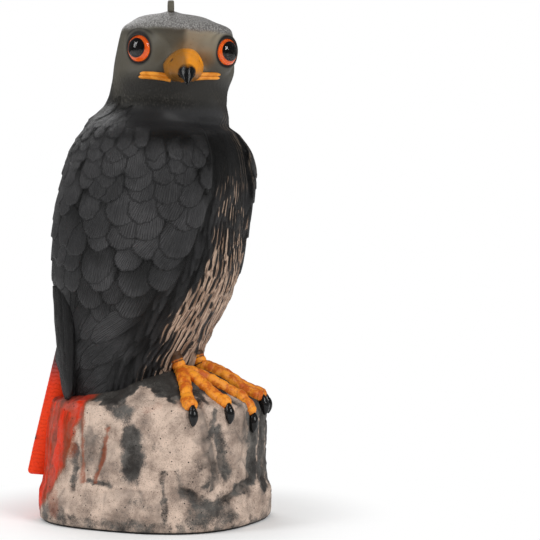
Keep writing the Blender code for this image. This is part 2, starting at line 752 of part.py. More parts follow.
def rock_hollow_ring(height):
    """Inner points a wall's thickness inside the rock and its deepest carving nearby."""
    ring = []
    for turn in turns(HOLLOW_COLUMNS):
        reach = min(
            polar_reach(*rock_sizes(height + rise)[:2], turn, ROCK_SQUARE)
            for rise in (-WALL, 0, WALL)
        )
        carving = max(
            cleft_depth(height + rise, turn + swing)
            for rise in (-CARVING_MARGIN, 0, CARVING_MARGIN)
            for swing in (-0.2, -0.1, 0, 0.1, 0.2)
        )
        lean = rock_sizes(height)[2]
        ring.append(Vector((lean, 0, height)) + heading(turn) * (reach - WALL - ROCK_LUMP - carving))
    return ring


def make_cavity(material):
    """The hollow inside: rock, tail and body, each a wall's thickness inside the skin."""
    low = np.linspace(RECESS + WALL, ROCK_TOP - ROCK_CEILING, 10)
    high = list(np.linspace(HOLLOW_FROM, raised(HEAD_FROM - HOLLOW_STEP), 10))
    high += list(np.linspace(raised(HEAD_FROM), CROWN - 1.6 * WALL, 9))
    hollow = loft("rock hollow", [rock_hollow_ring(height) for height in low], material)
    body = loft("body hollow", [body_hollow_ring(height) for height in high], material)
    columns = [(share, 0.0) for share in (-1.0, -0.6, -0.2, 0.2, 0.6, 1.0)]
    inset = WALL + FEATHER_GROOVE
    heights = np.linspace(TAIL_BOTTOM + inset, TAIL_TOP - 3 * inset, 6)
    tail = loft("tail hollow", [tail_ring(height, columns, inset) for height in heights], material)
    combine(hollow, "UNION", [body, tail])
    return hollow


def make_eye_seat(side, bare, black):
    """The cup moulded behind an eye, and the socket that is cut into it."""
    frame = eye_frame(side)
    floor = -SOCKET_DEPTH
    bore = floor - STEM_LENGTH - GAP
    wide = LENS_RADIUS + GAP
    slim = STEM_RADIUS + GAP
    cup = [
        (slim + WALL, bore - WALL),
        (slim + WALL, floor - WALL),
        (wide + WALL, floor - WALL),
        (wide + WALL, floor + 1 * MM),
    ]
    socket = [(slim, bore), (slim, floor), (wide, floor), (wide, LENS_HEIGHT + WALL)]
    seat = turned("eye cup", cup, frame, bare, 24)
    return seat, turned("eye socket", socket, frame, black, 32)


def make_recess(material):
    rings = []
    along, across, _ = rock_sizes(0.0)
    for height, margin in ((-1 * MM, RECESS_MARGIN), (RECESS, RECESS_MARGIN + RECESS_SLOPE)):
        ring = []
        for turn in turns(ROCK_COLUMNS):
            reach = polar_reach(along - margin, across - margin, turn, ROCK_SQUARE)
            ring.append(UP * height + heading(turn) * reach)
        rings.append(ring)
    return loft("base recess", rings, material)


def make_shell():
    charcoal = paint("charcoal feather paint", (0.036, 0.038, 0.043), 0.55)
    grey = paint("grey face paint", (0.15, 0.14, 0.12), 0.5)
    stone = paint("tan stone paint", (0.52, 0.42, 0.34), 0.7)
    orange = paint("orange leg paint", (0.75, 0.25, 0.02), 0.45)
    red = paint("red-orange tail paint", (0.85, 0.09, 0.025), 0.5)
    black = paint("gloss black paint", (0.01, 0.01, 0.012), 0.15)
    bare = paint("bare inside", (0.08, 0.08, 0.085), 0.6)

    shell = make_body(charcoal)
    parts = [make_rock(stone), make_tail(red), make_beak(orange, black), make_eyelet(grey)]
    for side, toes in ((1, RIGHT_TOES), (-1, LEFT_TOES)):
        parts.append(make_wing_tip(side, charcoal))
        parts.append(make_leg(side, orange))
        parts.append(make_brow(side, grey))
        for lift in (-GAPE_SPACING / 2, GAPE_SPACING / 2):
            parts.append(make_gape(side, lift, orange))
        for degrees in toes:
            parts.append(make_toe(side, degrees, orange))
            parts.append(make_claw(side, degrees, black))
    combine(shell, "UNION", parts)
    keep_outer_skin(shell)
    combine(shell, "DIFFERENCE", [make_cavity(bare)])

    upright = Matrix.Identity(4)
    neck = [(HOLE_RADIUS + WALL, RECESS + WALL / 2), (HOLE_RADIUS + WALL, NECK_HEIGHT)]
    seats = [turned("filling neck", neck, upright, bare, 28)]
    counterbore = RECESS + FLANGE_THICKNESS + GAP
    hole = [
        (FLANGE_RADIUS + GAP, -1 * MM),
        (FLANGE_RADIUS + GAP, counterbore),
        (HOLE_RADIUS, counterbore),
        (HOLE_RADIUS, NECK_HEIGHT + 1 * MM),
    ]
    cuts = [make_recess(bare), turned("filling hole", hole, upright, bare, 32), make_eyelet_hole(grey)]
    for side in (1, -1):
        seat, socket = make_eye_seat(side, bare, black)
        seats.append(seat)
        cuts.append(socket)
    combine(shell, "UNION", seats)
    combine(shell, "DIFFERENCE", cuts)
    keep_outer_skin(shell)
    finish(shell, "shell")


def make_eye(side, word):
    """Lens, iris disc and pupil with its stem, stacked in the socket."""
    frame = eye_frame(side)
    clear = paint("clear lens " + word, (0.95, 0.95, 0.95), 0.03, transmission=1.0)
    amber = paint("orange iris " + word, (0.85, 0.13, 0.02), 0.35)
    ink = paint("black pupil " + word, (0.005, 0.005, 0.005), 0.1)
    origin = frame.translation

    rise = LENS_HEIGHT - LENS_RIM
    ball = (LENS_RADIUS**2 + rise**2) / (2 * rise)
    widest = math.asin(LENS_RADIUS / ball)
    dome = [(LENS_RADIUS, 0.0), (LENS_RADIUS, LENS_RIM)]
    steps = 6
    for i in range(1, steps):
        turn = widest * (1 - i / steps)
        dome.append((ball * math.sin(turn), LENS_HEIGHT - ball * (1 - math.cos(turn))))
    dome.append((0.05 * LENS_RADIUS, LENS_HEIGHT))
    finish(turned("lens", dome, frame, clear, 28), "eye_lens_" + word, origin)

    iris_top = -GAP
    iris_bottom = iris_top - IRIS_THICKNESS
    rim = [(LENS_RADIUS - GAP, iris_bottom), (LENS_RADIUS - GAP, iris_top)]
    opening = [
        (PUPIL_RADIUS + GAP, iris_bottom - IRIS_THICKNESS),
        (PUPIL_RADIUS + GAP, iris_top + IRIS_THICKNESS),
    ]
    disc = turned("iris", rim, frame, amber, 28)
    combine(disc, "DIFFERENCE", [turned("iris opening", opening, frame, amber, 24)])
    finish(disc, "iris_disc_" + word, origin)

    flange_top = iris_bottom - GAP
    flange_bottom = flange_top - PUPIL_FLANGE
    stem = flange_bottom - STEM_LENGTH
    button = [
        (STEM_RADIUS - CHAMFER, stem),
        (STEM_RADIUS, stem + CHAMFER),
        (STEM_RADIUS, flange_bottom),
        (PUPIL_FLANGE_RADIUS, flange_bottom),
        (PUPIL_FLANGE_RADIUS, flange_top),
        (PUPIL_RADIUS, flange_top),
        (PUPIL_RADIUS, iris_top),
    ]
    finish(turned("pupil", button, frame, ink, 24), "pupil_stem_" + word, origin)


def make_plug():
    """A hollow press-in stopper with a flange that seats in the counterbore."""
    rubber = paint("dark grey stopper", (0.03, 0.03, 0.032), 0.6)
    upright = Matrix.Identity(4)
    radius = HOLE_RADIUS - GAP
    inner = radius - PLUG_WALL
    shoulder = RECESS + FLANGE_THICKNESS
    top = shoulder + PLUG_LENGTH
    lip = [
        (FLANGE_RADIUS - CHAMFER, RECESS),
        (FLANGE_RADIUS, RECESS + CHAMFER),
        (FLANGE_RADIUS, shoulder),
        (radius, shoulder),
        (radius, top - 2 * CHAMFER),
        (radius - CHAMFER, top),
    ]
    cup = [(inner - CHAMFER, RECESS - 1 * MM), (inner, top - PLUG_WALL)]
    plug = turned("plug", lip, upright, rubber, 32)
    combine(plug, "DIFFERENCE", [turned("plug cup", cup, upright, rubber, 28)])
    finish(plug, "fill_plug", UP * RECESS)


def move_to_middle():
    """Moves every piece so that the origin lies in the middle of the whole box's floor."""
    bpy.context.view_layer.update()
    corners = []
    for thing in bpy.data.objects:
        corners += [thing.matrix_world @ Vector(corner) for corner in thing.bound_box]
    low = [min(corner[axis] for corner in corners) for axis in range(3)]
    high = [max(corner[axis] for corner in corners) for axis in range(3)]
    middle = Vector(((low[0] + high[0]) / 2, (low[1] + high[1]) / 2, low[2]))
    print("the rock's middle is now at", [round(-value / MM, 2) for value in middle], "mm")
    for thing in bpy.data.objects:
        thing.location -= middle


def main():
    for thing in list(bpy.data.objects):
        bpy.data.objects.remove(thing)
    make_shell()
    make_eye(1, "right")
    make_eye(-1, "left")
    make_plug()
    move_to_middle()


main()
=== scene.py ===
# %% [markdown]
# # A hollow hawk decoy, sculpted and airbrushed
# The real thing is one blow-moulded plastic shell: rock, feet, body, tail and head came
# out of the same mould, and the colour was sprayed on by hand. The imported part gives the
# true size and place of everything, but its faces are few. So this lesson lays a finely
# sculpted skin over it, piece by piece, and paints that skin with node materials.

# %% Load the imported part
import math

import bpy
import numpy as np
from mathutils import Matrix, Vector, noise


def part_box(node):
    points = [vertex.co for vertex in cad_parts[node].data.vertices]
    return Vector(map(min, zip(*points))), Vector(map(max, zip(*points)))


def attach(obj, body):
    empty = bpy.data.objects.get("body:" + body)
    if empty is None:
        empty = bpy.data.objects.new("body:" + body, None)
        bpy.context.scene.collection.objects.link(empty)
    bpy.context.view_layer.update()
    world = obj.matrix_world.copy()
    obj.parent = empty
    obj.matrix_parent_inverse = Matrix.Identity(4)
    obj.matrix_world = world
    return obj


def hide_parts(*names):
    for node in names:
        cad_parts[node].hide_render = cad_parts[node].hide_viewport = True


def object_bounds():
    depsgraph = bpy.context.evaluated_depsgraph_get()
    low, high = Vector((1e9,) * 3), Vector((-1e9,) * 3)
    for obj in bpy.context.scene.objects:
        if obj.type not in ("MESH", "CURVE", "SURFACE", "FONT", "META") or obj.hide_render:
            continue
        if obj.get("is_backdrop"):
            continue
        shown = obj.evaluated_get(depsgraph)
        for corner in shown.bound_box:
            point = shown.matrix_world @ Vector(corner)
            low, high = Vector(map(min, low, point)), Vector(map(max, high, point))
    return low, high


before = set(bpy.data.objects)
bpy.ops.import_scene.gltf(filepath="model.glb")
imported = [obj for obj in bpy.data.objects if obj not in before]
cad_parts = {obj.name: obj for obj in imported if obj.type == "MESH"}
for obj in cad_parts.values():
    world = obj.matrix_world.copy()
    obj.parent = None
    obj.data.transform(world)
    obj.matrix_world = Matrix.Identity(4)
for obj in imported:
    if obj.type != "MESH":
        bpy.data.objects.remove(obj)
cad_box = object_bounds()

# %% [markdown]
# All sizes below are millimetres around the axis of the filling hole, because that is how
# the mould's sections were drawn. The stopper sits in that hole, so its middle gives the
# axis. `place` moves points from there to metres in the part's own frame.

MM = 0.001
SIDES = ((1, "right"), (-1, "left"))
plug_low, plug_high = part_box("fill_plug")
HOLE_AXIS = np.array(((plug_low + plug_high) / 2).xy.to_3d()) / MM
print("the filling hole's axis is at", HOLE_AXIS.round(2), "mm")


def place(points):
    """Millimetres round the hole's axis as metres in the part's frame."""
    return (np.asarray(points, float) + HOLE_AXIS) * MM


def srgb(red, green, blue):
    """A colour as seen on screen, 0 to 255, as the linear values that shaders use."""
    shares = np.array((red, green, blue)) / 255
    linear = np.where(shares <= 0.04045, shares / 12.92, ((shares + 0.055) / 1.055) ** 2.4)
    return (*linear.tolist(), 1.0)


# %% [markdown]
# ## Curves and rings
# A mould maker describes a body by its sections. Between two sections the sizes follow a
# smooth curve that never overshoots, so a neck stays a neck. A stack of rings then
# becomes a closed mesh: quads between neighbours, and one flat face at each end. Blender
# can loft curve objects too, but a grid made in code knows the height and the angle of
# every point, and the feathers and the paint are laid out by those.

# %% Helpers for smooth sections
def smooth_curve(stations, values, at):
    """Values on a monotone cubic through the stations, for a whole array at once."""
    xs = np.asarray(stations, float)
    ys = np.asarray(values, float)
    at = np.clip(at, xs[0], xs[-1])
    steps = np.diff(xs)
    slopes = np.diff(ys) / steps
    rates = np.zeros(len(xs))
    rates[0], rates[-1] = slopes[0], slopes[-1]
    for i in range(1, len(xs) - 1):
        if slopes[i - 1] * slopes[i] > 0:
            near = 2 * steps[i] + steps[i - 1]
            far = steps[i] + 2 * steps[i - 1]
            rates[i] = (near + far) / (near / slopes[i - 1] + far / slopes[i])
    i = np.clip(np.searchsorted(xs, at, side="right") - 1, 0, len(steps) - 1)
    u = (at - xs[i]) / steps[i]
    start = ys[i] * (1 + 2 * u) * (1 - u) ** 2 + rates[i] * steps[i] * u * (1 - u) ** 2
    end = ys[i + 1] * u * u * (3 - 2 * u) + rates[i + 1] * steps[i] * u * u * (u - 1)
    return start + end


def ease(values):
    """0 up to 0, 1 from 1 on, and smooth between."""
    values = np.clip(values, 0.0, 1.0)
    return values * values * (3 - 2 * values)


def rises(values, start, length):
    """0 up to the start, then smoothly up to 1 over the length."""
    return ease((values - start) / length)


def falls(values, end, length):
    """1 at first, then smoothly down over the length, to 0 at the end."""
    return ease((end - values) / length)


def hump(distance, width):
    """1 where the distance is 0, fading out on both sides."""
    return np.exp(-((np.asarray(distance, float) / width) ** 2))


def heading(angle):
    """Level unit vector. The angle runs from the chest's way round to the bird's right."""
    angle = np.asarray(angle, float)
    return np.stack([-np.sin(angle), -np.cos(angle), np.zeros_like(angle)], axis=-1)


def polar_reach(along, across, angle, square):
    """How far a rounded box of these half-sizes reaches at an angle from its length."""
    ahead = np.abs(np.cos(angle)) / along
    beside = np.abs(np.sin(angle)) / across
    return (ahead**square + beside**square) ** (-1 / square)


def wrapped(angle):
    """The same angle between minus and plus half a turn, 0 at the chest."""
    return (np.asarray(angle) + math.pi) % (2 * math.pi) - math.pi


def circle(count):
    """Evenly spaced angles once round."""
    return 2 * math.pi * np.arange(count) / count


# %% Helpers that turn rings into meshes
def outward(rings):
    """Unit normals of a stack of rings, pointing away from each ring's middle."""
    along = np.gradient(rings, axis=0)
    around = np.roll(rings, -1, axis=1) - np.roll(rings, 1, axis=1)
    normals = np.cross(around, along)
    normals /= np.maximum(np.linalg.norm(normals, axis=2, keepdims=True), 1e-9)
    away = rings - rings.mean(axis=1, keepdims=True)
    if (normals * away).sum() < 0:
        normals = -normals
    return normals


BOX_LOW, BOX_HIGH = (np.array(corner) / MM - HOLE_AXIS for corner in cad_box)


def add_object(name, data):
    thing = bpy.data.objects.new(name, data)
    bpy.context.scene.collection.objects.link(thing)
    return thing


def solid(name, rings, material, body="shell", closed=False):
    """A piece through rings of equal length, kept in the part's box, capped or closed."""
    rings = np.clip(np.asarray(rings, float), BOX_LOW, BOX_HIGH)
    rows, columns = rings.shape[:2]
    index = np.arange(rows * columns).reshape(rows, columns)
    if closed:
        index = np.vstack([index, index[:1]])
    right = np.roll(index, -1, axis=1)
    quads = np.stack([index[:-1], right[:-1], right[1:], index[1:]], axis=-1).reshape(-1, 4)
    flat = rings.reshape(-1, 3)
    a, b, c, d = (flat[quads[:, k]] for k in range(4))
    volume = (a * np.cross(b, c)).sum() + (a * np.cross(c, d)).sum()
    faces = quads.tolist()
    if not closed:
        faces += [index[0][::-1].tolist(), index[-1].tolist()]
    if volume < 0:
        faces = [face[::-1] for face in faces]
    mesh = bpy.data.meshes.new(name)
    mesh.from_pydata(place(flat).tolist(), [], faces)
    mesh.materials.append(material)
    mesh.shade_smooth()
    piece = add_object(name, mesh)
    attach(piece, body)
    print(name, "has", len(mesh.vertices), "points")
    return piece


def keep_values(piece, **fields):
    """Stores numbers or vectors at the mesh's points, for its material to read."""
    for name, field in fields.items():
        vector = np.ndim(field) == 3
        kind = "FLOAT_VECTOR" if vector else "FLOAT"
        layer = piece.data.attributes.new(name, kind, "POINT")
        layer.data.foreach_set("vector" if vector else "value", np.ravel(field).astype(np.float32))


def lumps(points, size, octaves):
    """Soft fractal noise between about -1 and 1 at each point, features of a size in mm."""
    flat = np.asarray(points, float).reshape(-1, 3) / size
    values = [noise.fractal(Vector(p), 1.0, 2.0, octaves) for p in flat.tolist()]
    return np.array(values).reshape(np.shape(points)[:-1])


# %% [markdown]
# ## Small tools for node materials
# Every finish here is a net of shader nodes. Such a net can be drawn by hand in the
# Shader Editor, but in code it is quicker to write, to repeat and to change. `put` adds
# one node and fills its sockets with values or with links, and the others are shorthands
# for the nodes that come up again and again.

# %% Node shorthands
def put(tree, kind, sockets=None, **settings):
    node = tree.nodes.new(kind)
    for name, value in settings.items():
        setattr(node, name, value)
    for name, value in (sockets or {}).items():
        if isinstance(value, bpy.types.NodeSocket):
            tree.links.new(value, node.inputs[name])
        else:
            node.inputs[name].default_value = value
    return node


def calc(tree, operation, first, second=0.0, third=0.0):
    sockets = {0: first, 1: second, 2: third}
    return put(tree, "ShaderNodeMath", sockets, operation=operation).outputs[0]


def spread(tree, value, low, high, start=0.0, end=1.0):
    """Maps a value from low..high to start..end, smoothly and without overshoot."""
    sockets = {"Value": value, "From Min": low, "From Max": high, "To Min": start, "To Max": end}
    node = put(tree, "ShaderNodeMapRange", sockets, interpolation_type="SMOOTHSTEP")
    return node.outputs["Result"]


def mixed(tree, factor, first, second, mode="MIX"):
    node = put(tree, "ShaderNodeMix", {0: factor, 6: first, 7: second}, data_type="RGBA")
    node.blend_type = mode
    return node.outputs[2]


def grain(tree, where, scale, detail=3.0, roughness=0.6, distortion=0.0):
    sockets = {"Vector": where, "Scale": scale, "Detail": detail}
    sockets |= {"Roughness": roughness, "Distortion": distortion}
    return put(tree, "ShaderNodeTexNoise", sockets).outputs["Fac"]


def stretched(tree, where, scale):
    sockets = {0: where, 1: scale}
    return put(tree, "ShaderNodeVectorMath", sockets, operation="MULTIPLY").outputs[0]


def stored(tree, name, output="Fac"):
    return put(tree, "ShaderNodeAttribute", attribute_name=name).outputs[output]


def axes_of(tree, vector):
    return put(tree, "ShaderNodeSeparateXYZ", {0: vector}).outputs


def object_space(tree):
    return put(tree, "ShaderNodeTexCoord").outputs["Object"]


def new_material(name, specular=0.3):
    material = bpy.data.materials.new(name)
    material.use_nodes = True
    tree = material.node_tree
    shader = tree.nodes["Principled BSDF"]
    shader.inputs["Specular IOR Level"].default_value = specular
    return material, tree, shader


def finish(tree, shader, colour, roughness, height, strength, distance):
    """Links a colour, a roughness and a bump, whose distance is in metres, to the shader."""
    bump = put(tree, "ShaderNodeBump", {"Height": height, "Strength": strength, "Distance": distance})
    tree.links.new(colour, shader.inputs["Base Color"])
    tree.links.new(roughness, shader.inputs["Roughness"])
    tree.links.new(bump.outputs["Normal"], shader.inputs["Normal"])


def new_group(name, inputs, outputs):
    """A node group with named sockets, each of them a value or a vector."""
    tree = bpy.data.node_groups.new(name, "ShaderNodeTree")
    kinds = {"value": "NodeSocketFloat", "vector": "NodeSocketVector"}
    for socket, kind in inputs.items():
        tree.interface.new_socket(name=socket, in_out="INPUT", socket_type=kinds[kind])
    for socket, kind in outputs.items():
        tree.interface.new_socket(name=socket, in_out="OUTPUT", socket_type=kinds[kind])
    return tree, tree.nodes.new("NodeGroupInput").outputs, tree.nodes.new("NodeGroupOutput").inputs


def use_group(tree, group, sockets):
    node = put(tree, "ShaderNodeGroup", node_tree=group)
    for name, value in sockets.items():
        if isinstance(value, bpy.types.NodeSocket):
            tree.links.new(value, node.inputs[name])
        else:
            node.inputs[name].default_value = value
    return node.outputs


# %% [markdown]
# ### Shared effects
# Three effects turn up all over the decoy: the barbs that were scratched into every
# feather, the soft cloudy edge of airbrushed paint, and the fine grain and pits that a
# blow mould leaves in plastic. Each could be built anew in every material. As a node
# group it is built once, and each material sets its own scale and strength.

# %% Feather barbs
barbs, given, result = new_group(
    "Feather barbs",
    {"Plume": "vector", "Lines": "value", "Fan": "value"},
    {"Height": "value", "Number": "value", "Along": "value"},
)
across, along, number = axes_of(barbs, given["Plume"])
# Barbs fan out from the root, so they lie closer together there.
opening = calc(barbs, "MULTIPLY_ADD", along, given["Fan"], calc(barbs, "SUBTRACT", 1.0, given["Fan"]))
fanned = calc(barbs, "DIVIDE", across, calc(barbs, "MAXIMUM", opening, 0.2))
seed = calc(barbs, "MULTIPLY", number, 37.0)
place_on_feather = put(barbs, "ShaderNodeCombineXYZ", {0: fanned, 1: along, 2: seed}).outputs[0]
wander = grain(barbs, stretched(barbs, place_on_feather, (2.0, 1.2, 1.0)), 1.6, detail=2.0)
phase = calc(barbs, "MULTIPLY_ADD", wander, 9.0, calc(barbs, "MULTIPLY", fanned, given["Lines"]))
wave = calc(barbs, "SINE", phase)
broken = grain(barbs, stretched(barbs, place_on_feather, (6.0, 1.6, 1.0)), 3.0, detail=2.0)
line = calc(barbs, "MULTIPLY", wave, spread(barbs, broken, 0.36, 0.6))
barbs.links.new(calc(barbs, "MULTIPLY_ADD", line, 0.5, 0.5), result["Height"])
barbs.links.new(number, result["Number"])
barbs.links.new(along, result["Along"])

# %% Airbrushed clouds
airbrush, given, result = new_group(
    "Airbrushed cloud",
    {"Position": "vector", "Scale": "value", "Cover": "value", "Softness": "value"},
    {"Mask": "value"},
)
cloud = grain(airbrush, given["Position"], given["Scale"], detail=4.0, roughness=0.62)
speck = grain(airbrush, given["Position"], 1900.0, detail=1.0)
ragged = calc(airbrush, "MULTIPLY_ADD", calc(airbrush, "SUBTRACT", speck, 0.5), 0.16, cloud)
middle = calc(airbrush, "SUBTRACT", 1.0, given["Cover"])
low = calc(airbrush, "SUBTRACT", middle, given["Softness"])
high = calc(airbrush, "ADD", middle, given["Softness"])
airbrush.links.new(spread(airbrush, ragged, low, high), result["Mask"])

# %% Moulded grain and pits
moulded, given, result = new_group(
    "Moulded grain",
    {"Position": "vector", "Grain": "value", "Pits": "value"},
    {"Height": "value", "Pit": "value"},
)
fine = grain(moulded, given["Position"], given["Grain"], detail=5.0, roughness=0.7)
cells = put(
    moulded, "ShaderNodeTexVoronoi", {"Vector": given["Position"], "Scale": given["Pits"]}
).outputs["Distance"]
pit = spread(moulded, cells, 0.2, 0.06)
moulded.links.new(calc(moulded, "MULTIPLY_ADD", pit, -0.6, fine), result["Height"])
moulded.links.new(pit, result["Pit"])
print("effects:", [group.name for group in bpy.data.node_groups])

# %% [markdown]
# ## The body's sections
# These are the same sections as in the part: height, where the section's middle lies,
# its reach to the front, back and side, and how square its front is. The head is turned
# 56 degrees to the bird's right, so the sections turn with it through the neck. A head
# made apart and turned would need a seam, and the real one has none.

# %% Sections
HEAD_TURN = math.radians(56)
TURN_FROM, TURN_TO = 300, 352
BACK_SQUARE = 2.1
LEAST_REACH = 0.4
# height, middle in x and y, reach to the front, back and side, squareness of the front
SECTIONS = np.array(
    (
        (80.0, 1.0, 28.0, 36.0, 38.0, 46.0, 2.0),
        (100.0, 1.0, 27.0, 44.0, 44.0, 55.0, 2.2),
        (126.0, 1.6, 25.4, 56.5, 56.5, 61.9, 2.2),
        (146.0, 4.5, 18.8, 57.4, 57.9, 68.3, 2.1),
        (170.0, 6.5, 13.8, 65.8, 65.8, 76.8, 2.1),
        (194.0, 7.3, 10.7, 73.1, 73.1, 83.6, 2.0),
        (218.0, 8.9, 8.7, 74.0, 74.0, 87.2, 2.0),
        (250.0, 7.7, 3.1, 74.0, 74.0, 89.5, 2.0),
        (272.0, 7.9, -0.8, 71.7, 71.7, 89.0, 2.0),
        (288.0, 8.0, -2.0, 68.4, 68.4, 85.2, 2.0),
        (304.0, 10.4, -1.1, 57.3, 58.8, 77.7, 2.0),
        (312.0, 12.7, 3.0, 49.1, 49.7, 68.1, 2.0),
        (320.0, 11.2, -0.5, 49.3, 49.3, 55.4, 2.0),
        (328.0, 8.3, -4.7, 49.8, 49.8, 48.3, 2.1),
        (336.0, 4.1, -9.5, 45.9, 45.9, 47.4, 2.2),
        (352.0, -2.0, -18.0, 41.4, 42.4, 48.6, 2.3),
        (367.8, -3.3, -20.0, 35.0, 35.5, 47.1, 2.3),
        (383.5, -9.5, -24.7, 35.7, 37.1, 44.1, 2.5),
        (391.4, -10.0, -22.3, 32.5, 33.7, 36.3, 2.2),
        (396.4, -9.6, -20.4, 26.5, 27.4, 28.9, 2.0),
        (399.4, -10.0, -19.2, 15.5, 16.0, 16.6, 2.0),
        (400.4, -10.4, -19.0, 2.0, 2.0, 2.0, 2.0),
    )
)
CROWN = SECTIONS[-1, 0]


def skin_points(height, angle, inset=0.0):
    """Points on the body's skin, or a way inside it, for arrays of heights and angles."""
    x, y, front, back, side, square = (
        smooth_curve(SECTIONS[:, 0], SECTIONS[:, k], height) for k in range(1, 7)
    )
    turn = HEAD_TURN * ease((height - TURN_FROM) / (TURN_TO - TURN_FROM))
    ahead = np.cos(angle - turn) > 0
    along = np.where(ahead, front, back)
    square = np.where(ahead, square, BACK_SQUARE)
    reach = np.maximum(polar_reach(along, side, angle - turn, square) - inset, LEAST_REACH)
    middle = np.stack(np.broadcast_arrays(x, y, height + 0 * angle), axis=-1)
    return middle + heading(angle) * reach[..., None]


WING_STEP = 5.5
WING_LIP = math.radians(3)


def wing_edge(height):
    """Angle of a wing's leading edge, and how far the breast lies behind the wing there."""
    heights = (80, 150, 170, 186, 201, 224, 247, 287, 306, 318)
    degrees = (80, 66, 56, 45, 38, 32, 28, 26, 25.6, 25.6)
    shares = (0, 0.1, 0.3, 0.5, 0.55, 0.8, 1.0, 1.0, 0.5, 0.0)
    edge = np.radians(smooth_curve(heights, degrees, height))
    return edge, smooth_curve(heights, shares, height) * WING_STEP


# %% Body grid
COLUMNS, ROWS, EVEN_ROWS = 344, 288, 200
LOWEST_RING, NECK_RING = 84, 330
around = circle(COLUMNS)
low_rows = np.linspace(LOWEST_RING, NECK_RING, EVEN_ROWS, endpoint=False)
# From the neck up the rows crowd together towards the flat crown.
crowding = np.sin(np.linspace(0, 1, ROWS - EVEN_ROWS) * math.pi / 2) ** 1.05
top_rows = NECK_RING + (CROWN - NECK_RING) * crowding
levels = np.concatenate([low_rows, top_rows])
height_grid, angle_grid = np.meshgrid(levels, around, indexing="ij")
turned_grid = wrapped(angle_grid)
beside_grid = np.abs(turned_grid)
edge_grid, step_grid = wing_edge(height_grid)
on_breast = 1 - ease((beside_grid - edge_grid + WING_LIP) / (2 * WING_LIP))
body_rings = skin_points(height_grid, angle_grid, step_grid * on_breast)
body_normals = outward(body_rings)
print("body rings reach up to", body_rings[..., 2].max(), "mm")

# %% [markdown]
# ## Feathers
# The sculptor laid feathers in rows like roof tiles, each one lifting towards its tip and
# lying over the roots of the ones below. Hundreds of small objects could be scattered over
# the body, but on the real one they are a single skin. So every feather is drawn on the
# grid as a low wedge with a rounded end, and where two meet the higher one shows. The
# winner also leaves its own coordinates behind, so the material can scratch barbs into it.

# %% Laying one feather
BODY_MIDDLE = (8, 0)
ROOT_SHARE = 0.1
SIDE_DROP = 0.45
RIM_SHARE = 0.2
random = np.random.default_rng(7)
feather_lift = np.zeros((ROWS, COLUMNS))
plume = np.zeros((ROWS, COLUMNS, 3))


def lay_feather(height, angle, width, length, lift, tilt, round_from):
    """One feather about a middle point. The tilt swings its tip round, and its end is
    rounded from a share of its length on."""
    reach = 0.75 * max(width, length)
    rows = slice(*np.searchsorted(levels, (height - reach, height + reach)))
    radius = np.linalg.norm(skin_points(np.array(height), np.array(angle))[:2] - BODY_MIDDLE)
    columns = np.flatnonzero(np.abs(wrapped(around - angle)) * radius < reach)
    if rows.start == rows.stop or len(columns) == 0:
        return
    spot = np.ix_(np.arange(rows.start, rows.stop), columns)
    sideways = wrapped(around[columns] - angle)[None, :] * radius
    upward = (levels[rows] - height)[:, None]
    across = (sideways * math.cos(tilt) + upward * math.sin(tilt)) / (width / 2)
    along = (sideways * math.sin(tilt) - upward * math.cos(tilt)) / length + 0.5
    tip = np.clip((along - round_from) / (1 - round_from), 0, 1)
    rim = np.sqrt(1 - tip**2)
    inside = np.clip((rim - np.abs(across)) / RIM_SHARE, 0, 1) * ((along > 0) & (along < 1))
    thickness = ROOT_SHARE + (1 - ROOT_SHARE) * along
    wedge = lift * thickness * (1 - SIDE_DROP * across**2) * ease(inside)
    higher = wedge > feather_lift[spot]
    feather_lift[spot] = np.where(higher, wedge, feather_lift[spot])
    own = np.stack([across, along, np.full_like(across, random.random())], axis=-1)
    plume[spot] = np.where(higher[..., None], own, plume[spot])


# %% Rows of broad scales over the wings and back
SCALE_HEIGHTS = (150, 195, 240, 280, 300, 318)
SCALE_WIDTHS = (27, 28, 26, 21, 15, 11)
ROW_STEPS = (15, 14, 13, 10.5, 8.5, 7)
SCALE_LIFTS = (0.6, 1.4, 2.4, 2.2, 1.8, 1.6)
FIRST_ROW, LAST_ROW = 322.0, 132
FROM_WING_EDGE = math.radians(5)
SHOULDER, WING_RADIUS, NECK_RADIUS = 300, 82, 58
SPACING, LENGTH_IN_ROWS = 0.84, 2.2
SWEEP = math.radians(24)
COLLAR_FRONT, COLLAR_RISE = 297, 26

